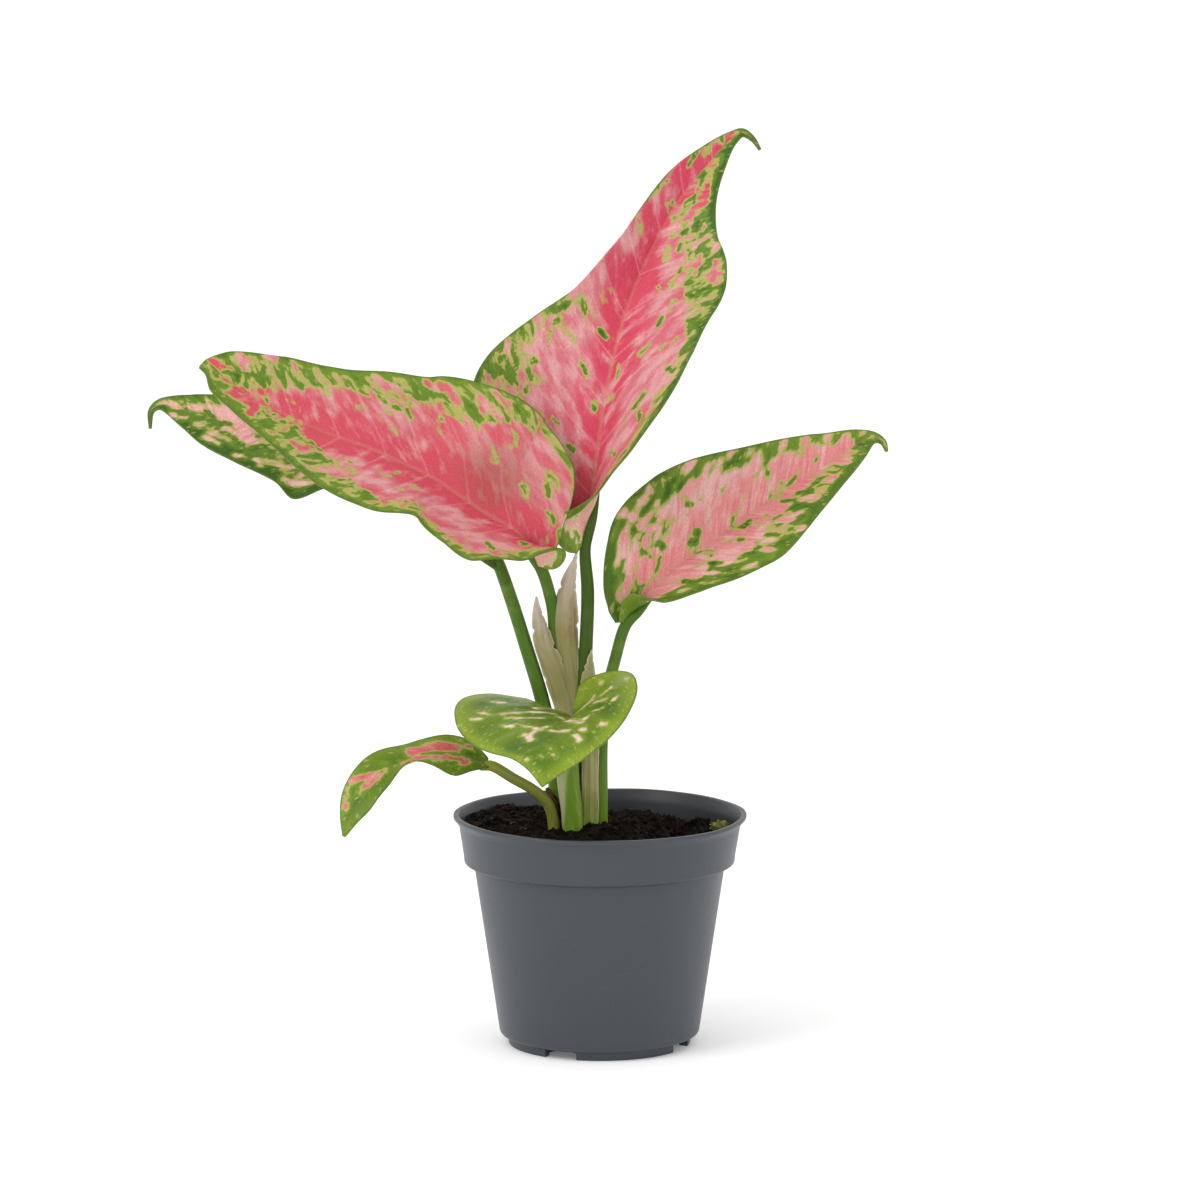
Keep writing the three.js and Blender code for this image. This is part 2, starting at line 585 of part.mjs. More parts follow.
// Every piece is cut clear of the pieces before it. Each record holds a piece and its grown copy.
const placed = [];

function place(name, finish, makeGeometry) {
  const solid = carve(
    toSolid(makeGeometry(0)),
    placed.map((piece) => piece.grown),
  );
  placed.push({ name, grown: toSolid(makeGeometry(CLEARANCE)) });
  addPiece(name, solid, finish);
}

place('cane', 'cane', (grow) => tube(CANE, grow));
for (const [name, leaf] of Object.entries(LEAVES)) {
  place(`stalk_${name}`, 'stalk', (grow) => tube(leaf.stalk, grow));
}
place('withered_stub', 'stub', (grow) => tube(STUB, grow));
const stems = placed.map((piece) => piece.grown);
for (const [name, sheath] of Object.entries(SHEATHS)) {
  place(`sheath_${name}`, 'sheath', (grow) => thinBody(sheath, SHEATH, grow));
}
const footed = placed.filter((piece) => piece.name === 'sheath_right').map((piece) => piece.grown);
for (const [name, leaf] of Object.entries(LEAVES)) {
  place(`leaf_${name}`, 'blade', (grow) => thinBody(leaf, BLADE, grow));
}
addPiece('soil', soilSolid([...stems, ...footed]), 'soil');
addPiece('pot', potSolid(), 'pot');

export default plant;
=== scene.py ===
"""A young chinese evergreen in its nursery pot, dressed over its solid model.

The scene is in metres, in the part's own frame: +Z up, -Y towards the viewer, the origin where the
pot's axis meets the ground. The tables are in millimetres, in the same frame."""

import math

import bmesh
import bpy
import numpy as np
from bpy.props import FloatProperty, FloatVectorProperty, IntProperty, PointerProperty
from mathutils import Matrix, Vector, noise


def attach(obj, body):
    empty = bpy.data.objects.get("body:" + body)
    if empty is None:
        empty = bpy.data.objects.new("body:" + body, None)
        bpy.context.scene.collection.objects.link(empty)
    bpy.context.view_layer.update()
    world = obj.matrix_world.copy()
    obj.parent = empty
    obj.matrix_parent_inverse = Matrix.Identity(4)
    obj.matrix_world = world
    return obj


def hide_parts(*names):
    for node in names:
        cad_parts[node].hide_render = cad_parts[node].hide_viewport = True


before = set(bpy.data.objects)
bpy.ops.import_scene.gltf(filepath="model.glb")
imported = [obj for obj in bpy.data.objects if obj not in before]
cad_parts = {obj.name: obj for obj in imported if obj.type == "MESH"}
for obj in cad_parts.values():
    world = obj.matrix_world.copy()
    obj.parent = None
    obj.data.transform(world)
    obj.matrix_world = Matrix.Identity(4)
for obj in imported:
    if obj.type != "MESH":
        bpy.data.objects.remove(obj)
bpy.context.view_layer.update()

bl_info = {
    "name": "Potted Chinese Evergreen",
    "version": (1, 0, 0),
    "blender": (4, 5, 0),
    "location": "3D View > Sidebar > Evergreen",
    "description": "Builds a pink chinese evergreen in a small nursery pot, piece by piece",
    "category": "Object",
}

MM = 0.001
WHOLE_PLANT = "root"


def tint(code):
    """A screen colour such as 0xd0607a as linear light."""
    channels = [(code >> shift & 255) / 255 for shift in (16, 8, 0)]
    return tuple(c / 12.92 if c < 0.04045 else ((c + 0.055) / 1.055) ** 2.4 for c in channels)


# ------------------------------------------------------------------ the plant's sizes, in millimetres

POT = dict(
  height=47.5,
  lip=dict(outer=30, edge=0.7, inner=29, under=28.8, z=45.6),
  collar=dict(radius=27.7, z=38.9, shoulder=0.8, drop=1.3),
  step=dict(radius=25.5, z=36.5),
  foot=dict(radius=20.4, z=2.6, chamfer=0.4, rise=0.1),
  ring=dict(outer=18.6, inner=16.8, height=2),
  channel=dict(underside=1.2, top=2.2),
  disc=dict(radius=9, slope=0.7, top=1),
  wall=0.8,
  # Heights of the bends on the inner side, and the width of the bend at the bottom.
  inner=dict(lip=45.3, collar=39.3, shoulder=38, step=36.8, foot=3, bend=0.8),
)
NOTCH = dict(count=4, first=-25.5, width=7, depth=5, height=1.6)
DRAIN = dict(count=6, first=10, radius=2, circle=13)
SOIL = dict(level=43.2, fall=0.08, heap=dict(x=2, y=-7, height=3, spread=6))

# Stalks, the cane and the withered foot go through points that give x, y, z and the radius there, and a
# midrib through points that give x, y and z. The places along a midrib run from 0 at its foot to 1 at its
# tip. Facing gives at places the way that the upper side looks, and left and right, seen on that side
# with the tip ahead, give at places the half's width, by how many degrees it lifts and by how far its
# edge sweeps on towards the tip.
CANE = [[-3.2, 1.2, 30, 2.2], [-3.2, 1.2, 41, 2.3], [-3.3, 1.2, 52, 1.9]]
LEAVES = dict(
  top=dict(
    stalk=[
      [-3.3, 1.2, 52.3, 1.9], [-3.6, 0.8, 62, 1.7], [-3.4, 0.3, 71, 1.5],
      [-2.7, 0.2, 83, 1.4], [-2.4, 0.5, 93, 1.35], [-2.9, 1.2, 101.6, 1.15],
    ],
    midrib=[
      [-2.9, 0.8, 102.6], [-1, 2.5, 115], [0.8, 5, 129.3], [3.3, 9, 141.6], [6.6, 13, 152.2],
      [12.5, 17.5, 164.6], [17.2, 20, 172], [22.9, 22.5, 178.6], [27, 24, 182.9],
      [29.2, 24.5, 184.1], [31.2, 24.5, 182.9], [32.8, 24.2, 180.6],
    ],
    facing=[[0, [-0.3, -0.95, 0.1]], [1, [-0.3, -0.95, 0.1]]],
    left=[
      [0, 1.5, 5, 0], [0.02, 4.5, 8, 0], [0.06, 11.5, 18, -2], [0.12, 18, 20, -1], [0.2, 25.2, 8, 0],
      [0.27, 27.6, 5, 1], [0.35, 25.4, 8, 0], [0.43, 18.1, 16, 0], [0.5, 11.4, 30, 0], [0.6, 8.4, 48, 0],
      [0.7, 6.6, 42, 0], [0.8, 5, 32, 0], [0.88, 3, 25, 0], [0.94, 1.1, 20, 0], [1, 0.3, 0, 0],
    ],
    right=[
      [0, 1.4, 150, -2.1], [0.006, 3.3, 147, -2.7], [0.013, 5.1, 142, -2.5], [0.02, 6.4, 140, -2],
      [0.03, 7.4, 142, -0.7], [0.04, 7.4, 142, 0.3], [0.052, 6.4, 127, 0.4], [0.065, 6.3, 103, 0.5],
      [0.08, 7.2, 84, 0.5], [0.1, 9, 68, 0.5], [0.15, 14.4, 57, 1],
      [0.2, 17.6, 49, 0.5], [0.3, 21, 36, 0], [0.4, 21, 27, 0], [0.5, 20.3, 18, 0], [0.6, 18.8, 10, 0],
      [0.66, 16.6, 10, 0], [0.69, 14.4, 10, 0], [0.715, 11.8, 10, 0], [0.8, 6.4, 12, 0], [0.88, 2.8, 15, 0],
      [0.94, 1.1, 15, 0], [1, 0.3, 0, 0],
    ],
    wave=dict(height=0.5, count=4, phase=0),
  ),
  left=dict(
    stalk=[
      [-6, 4.6, 36, 1.8], [-6.2, 4.3, 48, 1.8], [-6.8, 3.4, 60, 1.7], [-7.6, 2.4, 71, 1.6],
      [-8.9, 1.5, 83, 1.4], [-9.6, 1, 90, 1.25], [-11.7, -0.5, 97.6, 1.25],
    ],
    midrib=[
      [-12.3, -1.3, 98.6], [-13.8, -2.2, 102], [-16.8, -3.2, 105.7], [-22.9, -4, 109.5], [-27.9, -5, 113.1],
      [-34.3, -6, 117.5], [-40.2, -7.5, 120.5], [-45.6, -9, 123.3], [-55.1, -11, 127],
      [-67.7, -13.5, 133.3], [-77.6, -15, 140.1], [-79.6, -15.5, 140.6],
    ],
    facing=[[0, [0, -0.79, 0.62]], [1, [0, -0.79, 0.62]]],
    left=[
      [0, 2.6, 96, -0.5], [0.008, 4.7, 107, -1.2], [0.017, 6.5, 115, -1.2], [0.027, 7.7, 119, -0.9],
      [0.037, 8.2, 116, -0.8], [0.05, 8.1, 104, -1.1], [0.065, 8, 86, -1.5], [0.08, 8.3, 69, -2],
      [0.1, 9, 49, -2.9], [0.12, 10.4, 37, -3], [0.15, 13, 31, -1], [0.2, 16.2, 27, 0], [0.3, 15.3, 25, 0],
      [0.4, 14.3, 22, 0], [0.5, 16.2, 18, 0], [0.6, 15.7, 15, 0], [0.7, 12.6, 15, 0], [0.8, 7.8, 15, 0],
      [0.88, 5.7, 15, 0], [0.95, 4.6, 12, 0], [0.98, 2, 5, 0], [1, 0.3, 0, 0],
    ],
    right=[
      [0, 3, 25, 1], [0.04, 7.5, 25, 1], [0.07, 12, 25, 0.5], [0.09, 15.4, 25, 0], [0.11, 18.2, 25, -0.5],
      [0.14, 20.8, 24, -0.5], [0.2, 22.6, 23, 0], [0.3, 22.8, 22, 0], [0.4, 20.6, 20, 0], [0.5, 17.4, 18, 0],
      [0.6, 14.5, 16, 0], [0.7, 12.9, 15, 0], [0.8, 11.3, 15, 0], [0.88, 8.8, 15, 0], [0.95, 5.4, 12, 0],
      [0.98, 2.4, 5, 0], [1, 0.3, 0, 0],
    ],
    wave=dict(height=0.6, count=3, phase=1),
  ),
  back_left=dict(
    stalk=[
      [-8.6, 0.3, 36, 1.7], [-8.6, 0.3, 50, 1.7], [-9.5, 0.2, 60, 1.6], [-11.7, 0, 71, 1.5],
      [-15, 0.8, 82, 1.4], [-17.9, 2.6, 91, 1.35], [-20.7, 5, 98.4, 1.3],
    ],
    midrib=[
      [-20.6, 6.2, 99.8], [-30.6, 8, 111.5], [-41, 9.5, 118.6], [-53, 10.8, 122], [-63, 11.5, 123.4],
      [-73.4, 12.8, 125.3], [-83.5, 14, 128], [-89.6, 15, 129.3], [-91.4, 15, 128], [-91.7, 15, 124.4],
    ],
    facing=[[0, [0.2, -0.75, 0.66]], [0.3, [0, -0.75, 0.66]], [1, [0, -0.85, 0.5]]],
    left=[
      [0, 4, 20, -2], [0.1, 8, 18, 0], [0.2, 9.5, 15, 0], [0.35, 11, 12, 0], [0.48, 12.4, 8, 0],
      [0.555, 15.4, 6, 1], [0.61, 12.4, 12, 0], [0.71, 10, 15, 0], [0.8, 7.3, 15, 0], [0.88, 3.3, 15, 0],
      [0.94, 1, 10, 0], [1, 0.3, 0, 0],
    ],
    right=[
      [0, 4, 15, -2], [0.1, 8, 15, 0], [0.2, 10.5, 15, 0], [0.35, 11.5, 15, 0], [0.5, 11, 15, 0],
      [0.6, 9.5, 15, 0], [0.7, 7.5, 15, 0], [0.8, 5.2, 15, 0], [0.88, 3, 15, 0], [0.94, 1, 10, 0],
      [1, 0.3, 0, 0],
    ],
    wave=dict(height=0.5, count=4, phase=2),
  ),
  right=dict(
    stalk=[
      [0.3, 0.4, 36, 1.4], [0.3, 0.5, 52, 1.4], [0.4, 0.8, 62, 1.35], [1.3, 1.2, 71, 1.25],
      [3.2, 1.7, 79, 1.2], [5.1, 2.25, 85.4, 1.2],
    ],
    midrib=[
      [5.2, 2, 86.2], [11.3, 3, 93.7], [16.1, 4, 98.1], [22.2, 5, 102.1], [28.1, 6, 106.6],
      [34.2, 7, 110.6], [46.9, 9, 118.3], [55.4, 10.5, 123.1], [57.7, 11, 122.2], [58.5, 11, 120.2],
    ],
    facing=[[0, [0, -0.82, 0.57]], [1, [0, -0.82, 0.57]]],
    left=[
      [0, 1.6, 25, -1.2], [0.02, 4, 24, -1.6], [0.03, 5, 24, -1.5], [0.045, 6.5, 22, -1.4],
      [0.06, 8, 22, -1], [0.12, 12, 22, 0], [0.2, 16, 22, 0], [0.3, 17.4, 22, 0],
      [0.4, 16.8, 22, 0], [0.5, 14.5, 22, 0], [0.6, 11.8, 22, 0], [0.7, 9, 22, 0], [0.8, 6.2, 22, 0],
      [0.88, 3.6, 20, 0], [0.94, 1.2, 12, 0], [1, 0.3, 0, 0],
    ],
    right=[
      [0, 1.5, 120, -0.6], [0.01, 3.2, 117, 0.3], [0.02, 4.6, 115, 1.6], [0.03, 5.4, 108, 2.6],
      [0.045, 6.2, 97, 2.8], [0.06, 6.6, 85, 2.3], [0.08, 7.2, 72, 1.6], [0.12, 9, 50, 0.2],
      [0.2, 11.3, 36, 0], [0.3, 12.8, 28, 0],
      [0.4, 14, 24, 0], [0.5, 14.8, 22, 0], [0.6, 13, 22, 0], [0.7, 9.8, 22, 0], [0.8, 6.4, 22, 0],
      [0.88, 4, 20, 0], [0.94, 1.4, 12, 0], [1, 0.3, 0, 0],
    ],
    wave=dict(height=0.5, count=3, phase=0.5),
  ),
  front=dict(
    stalk=[
      [-5.3, -3.9, 36, 2], [-5.6, -4.1, 48, 2.15], [-6.4, -4.5, 56, 2.3], [-6.1, -5, 63.3, 1.8],
      [-5.5, -6, 67.3, 1.3],
    ],
    midrib=[
      [-5.4, -6.3, 68.5], [-6.5, -16, 69.5], [-8.5, -27, 68.6], [-10, -35.5, 65.6], [-11.3, -39.5, 60.2],
    ],
    facing=[[0, [-0.05, -0.1, 1]], [0.5, [0, -0.35, 1]], [1, [0, -1, 0.3]]],
    left=[
      [0, 5.8, 80, -3], [0.05, 9.4, 60, -3.6], [0.12, 13.4, 42, -4.2], [0.3, 16.1, 30, -2], [0.5, 15, 20, 0],
      [0.65, 11.8, 10, 0], [0.8, 7, 2, 0], [0.92, 2.8, -4, 0], [1, 0.3, 0, 0],
    ],
    right=[
      [0, 10.5, 19, -5], [0.12, 17.8, 15, -5], [0.3, 22.4, 7, -2], [0.5, 21, -4, 0], [0.65, 16.6, -10, 0],
      [0.8, 10, -14, 0], [0.92, 3.5, -8, 0], [1, 0.3, 0, 0],
    ],
    wave=dict(height=0.4, count=2, phase=0),
  ),
  low_left=dict(
    stalk=[
      [-9.6, -3, 36, 1.2], [-9.4, -2.9, 46.5, 1.2], [-10.6, -3.4, 50.2, 1.15], [-13.4, -4.2, 53, 1.1],
      [-17.4, -5, 55.5, 1.1], [-22, -5.8, 58.3, 1.1],
    ],
    midrib=[
      [-22.5, -6, 58.9], [-29.5, -8.5, 61], [-35.5, -10.5, 61.2], [-41.3, -12.5, 59.3],
      [-45.8, -14.5, 55.8], [-49.4, -16.5, 50.8], [-51.4, -17.5, 45.9],
    ],
    facing=[
      [0, [0, -0.6, 0.8]], [0.2, [0, -0.5, 0.85]], [0.4, [0, -0.25, 1]], [0.6, [-0.5, -0.8, 0.35]],
      [1, [-0.4, -0.9, 0]],
    ],
    left=[
      [0, 1.2, 0, 0], [0.08, 2.8, -10, 0], [0.2, 4.8, -20, 0], [0.35, 2.8, -20, 0], [0.47, 1.2, 0, 0],
      [0.65, 3.2, 10, 0], [0.8, 3.4, 10, 0], [0.92, 1.6, 5, 0], [1, 0.3, 0, 0],
    ],
    right=[
      [0, 1.2, 10, 0], [0.08, 4, 10, 0], [0.2, 5.4, 10, 0], [0.35, 5, 10, 0], [0.5, 5, 12, 0],
      [0.65, 5, 12, 0], [0.8, 4.2, 10, 0], [0.92, 2, 5, 0], [1, 0.3, 0, 0],
    ],
    wave=dict(height=0.3, count=3, phase=0),
  ),
)
SHEATHS = dict(
  back_left=dict(
    midrib=[
      [-6.9, -1.9, 60.5], [-7, -2, 68.5], [-8, -1.9, 73.5], [-9.8, -1.6, 78.4], [-11.2, -1.2, 82.3],
      [-11.8, -0.9, 85], [-12.6, -0.4, 88.3], [-12.8, 0.2, 92],
    ],
    facing=[[0, [0.1, -1, 0]], [1, [0.1, -1, 0]]],
    left=[[0, 1.3, -20, 0], [0.4, 2.4, -25, 0], [0.75, 2, -25, 0], [0.87, 1.2, -20, 0], [1, 0.2, 0, 0]],
    right=[[0, 1.3, -20, 0], [0.4, 2.5, -25, 0], [0.75, 2.2, -25, 0], [0.87, 1.3, -20, 0], [1, 0.2, 0, 0]],
    wave=dict(height=0.1, count=3, phase=0),
  ),
  left=dict(
    midrib=[
      [-5.4, -0.9, 66.5], [-5.6, -0.9, 73], [-6.4, -0.9, 79], [-7, -0.9, 85], [-7, -0.7, 90],
      [-6.3, -0.4, 94.5], [-5.2, 0, 98.5], [-4.6, 0.2, 101],
    ],
    facing=[[0, [-0.1, -1, 0]], [1, [-0.1, -1, 0]]],
    left=[[0, 1.3, -20, 0], [0.3, 2.5, -25, 0], [0.6, 3.1, -28, 0], [0.78, 2, -25, 0], [1, 0.2, 0, 0]],
    right=[[0, 1, -20, 0], [0.3, 2, -25, 0], [0.6, 3, -28, 0], [0.78, 1.8, -25, 0], [1, 0.2, 0, 0]],
    wave=dict(height=0.15, count=3, phase=1),
  ),
  right=dict(
    midrib=[
      [-2.1, -1.8, 40], [-1.8, -1.8, 50], [-1.8, -1.9, 59], [-2.1, -2, 69.5], [-2, -1.9, 74],
      [-1.9, -1.6, 78], [-1.6, -1.2, 81.3],
    ],
    facing=[[0, [0.1, -1, 0]], [1, [0.1, -1, 0]]],
    left=[[0, 1.8, -10, 0], [0.5, 1.9, -15, 0], [0.72, 2.6, -25, 0], [0.88, 1.5, -25, 0], [1, 0.2, 0, 0]],
    right=[[0, 1.7, -10, 0], [0.5, 1.8, -15, 0], [0.72, 2.4, -30, 0], [0.88, 1.3, -25, 0], [1, 0.2, 0, 0]],
    wave=dict(height=0.1, count=3, phase=2),
  ),
)
STUB = [[-7.9, -2, 38, 0.5], [-8, -2, 46.8, 0.55], [-9, -2.1, 50.2, 0.6], [-10.7, -2, 53, 0.35]]

# How deep the green is on a blade that is green all over, more than any half's width.
GREEN_ALL_OVER = dict(left=[[0, 30], [1, 30]], right=[[0, 30], [1, 30]])

# How each blade is coloured. Along either half, at stations, mosaic is how deep the broken green margin
# is and hem how deep the unbroken one. Veins is the gap between side veins. Ruddy says how deep the rose
# is, pale how much whitish streaking there is, lime how yellow the greens are, warm how much the pink
# leans to salmon, cells how far the green runs as a net round pink cells, rib how plainly the midrib
# shows and milk how white its streaks are. The shade patch is painted shade, darker and browner, for the
# shade where the blade cups near its foot: its place along, its millimetres out, its reach both ways and
# its strength.
LOOKS = dict(
  top=dict(
    mosaic=dict(
      left=[[0, 1], [0.12, 3], [0.2, 8], [0.28, 11], [0.34, 9], [0.4, 4], [0.46, 0.5], [0.5, -2], [0.62, -2],
            [0.68, -1], [0.75, 0], [0.82, -2], [0.88, 0], [1, 3]],
      right=[[0, 2.4], [0.05, 2.6], [0.1, 2.6], [0.2, 2.6], [0.28, 3.4], [0.36, 2], [0.45, 3], [0.52, 6],
             [0.6, 9], [0.7, 9], [0.78, 7], [0.85, 5], [0.92, 3], [1, 3]],
    ),
    hem=dict(
      left=[[0, 1.2], [0.3, 1.4], [0.38, 0.9], [0.45, 0], [0.5, -1.4], [0.68, -1.4], [0.74, -0.4],
            [0.8, -1.2], [0.9, -0.4], [1, 2]],
      right=[[0, 1.8], [0.03, 1.6], [0.05, 1.7], [0.07, 2.8], [0.09, 1.6], [0.12, 1.4], [0.3, 1.9],
             [0.45, 1.7], [0.55, 1.4], [0.65, 1.1], [0.75, 2.2], [0.85, 2.2], [0.92, 2], [1, 2]],
    ),
    veins=9.5, ruddy=0.66, pale=0.4, lime=0.1, warm=0.02,
    cells=0.4, painted_shade=(0.12, 0, 0.08, 9, 0.35), rib=0.3, milk=0, seed=1.7,
  ),
  left=dict(
    mosaic=dict(
      left=[[0, 1.5], [0.1, 1.5], [0.25, 2], [0.4, 2.2], [0.48, 2], [0.55, 4.5], [0.62, 7.5], [0.75, 8],
            [0.9, 4], [1, 3]],
      right=[[0, 1], [0.06, 0.6], [0.14, 0.8], [0.22, 1.6], [0.28, 5], [0.35, 8], [0.45, 6.5], [0.55, 4.5],
             [0.66, 3], [0.78, 6], [0.9, 8], [1, 6]],
    ),
    hem=dict(
      left=[[0, 1.5], [0.04, 1.4], [0.07, 0.9], [0.12, 0.8], [0.25, 1], [0.38, 1.3], [0.5, 1.2], [0.6, 2],
            [1, 2]],
      right=[[0, 0.6], [0.06, 0.2], [0.2, 0.3], [0.28, 0.6], [0.4, 0.9], [0.6, 1.1], [0.8, 1.1], [1, 1.6]],
    ),
    veins=10, ruddy=0.82, pale=0.34, lime=0.35, warm=0.1,
    cells=0.2, painted_shade=(0.22, 7, 0.16, 9, 0.6), rib=0.3, milk=0, seed=5.1,
  ),
  back_left=dict(
    mosaic=dict(
      left=[[0, 3], [0.3, 5], [0.45, 8], [0.6, 11], [0.75, 8], [0.9, 5], [1, 2]],
      right=[[0, 2], [0.5, 2.5], [0.75, 2], [0.9, 1.5], [1, 1.5]],
    ),
    hem=dict(
      left=[[0, 1.5], [0.4, 2], [0.55, 2.5], [0.7, 4], [0.85, 3], [1, 2]],
      right=[[0, 1], [0.6, 0.8], [0.85, 1.2], [1, 1.2]],
    ),
    veins=9, ruddy=0.5, pale=0.55, lime=0.1, warm=0.15,
    cells=1, painted_shade=(0.1, 0, 0.1, 6, 0.1), rib=0.2, milk=0.5, seed=9.3,
  ),
  right=dict(
    mosaic=dict(
      left=[[0, 7], [0.08, 8], [0.2, 8], [0.3, 5], [0.4, 3.5], [0.55, 3.2], [0.75, 2], [1, 2]],
      right=[[0, 3], [0.12, 2.4], [0.25, 3.4], [0.4, 5], [0.5, 6.5], [0.62, 7], [0.75, 5], [0.9, 3], [1, 2]],
    ),
    hem=dict(
      left=[[0, 3], [0.1, 2.8], [0.2, 2], [0.3, 1.2], [0.45, 0.6], [0.7, 0.3], [1, 0.8]],
      right=[[0, 8], [0.08, 8], [0.12, 2], [0.3, 1.4], [0.5, 1.6], [0.65, 2.4], [0.8, 2.6],
             [0.92, 2], [1, 1.5]],
    ),
    veins=8.5, ruddy=0.8, pale=0.55, lime=0.3, warm=0.15,
    cells=3.2, painted_shade=(0.1, 0, 0.1, 6, 0), rib=0.35, milk=0.25, seed=13.9,
  ),
  front=dict(
    mosaic=GREEN_ALL_OVER,
    hem=GREEN_ALL_OVER,
    veins=6, ruddy=0.1, pale=1, lime=0.8, warm=0,
    cells=0, painted_shade=(0.1, 0, 0.1, 6, 0), rib=0.04, milk=0.75, seed=21.3,
  ),
  low_left=dict(
    mosaic=GREEN_ALL_OVER,
    hem=GREEN_ALL_OVER,
    veins=5, ruddy=0.6, pale=0.65, lime=0.5, warm=0.25,
    cells=0.6, painted_shade=(0.2, 0, 0.2, 6, 0.3), rib=0.1, milk=0, seed=27.7,
  ),
)

# How the solid model spells each leaf's name.
NODE_NAMES = dict(
  top="top", left="left", back_left="backLeft", right="right", front="front", low_left="lowLeft",
)

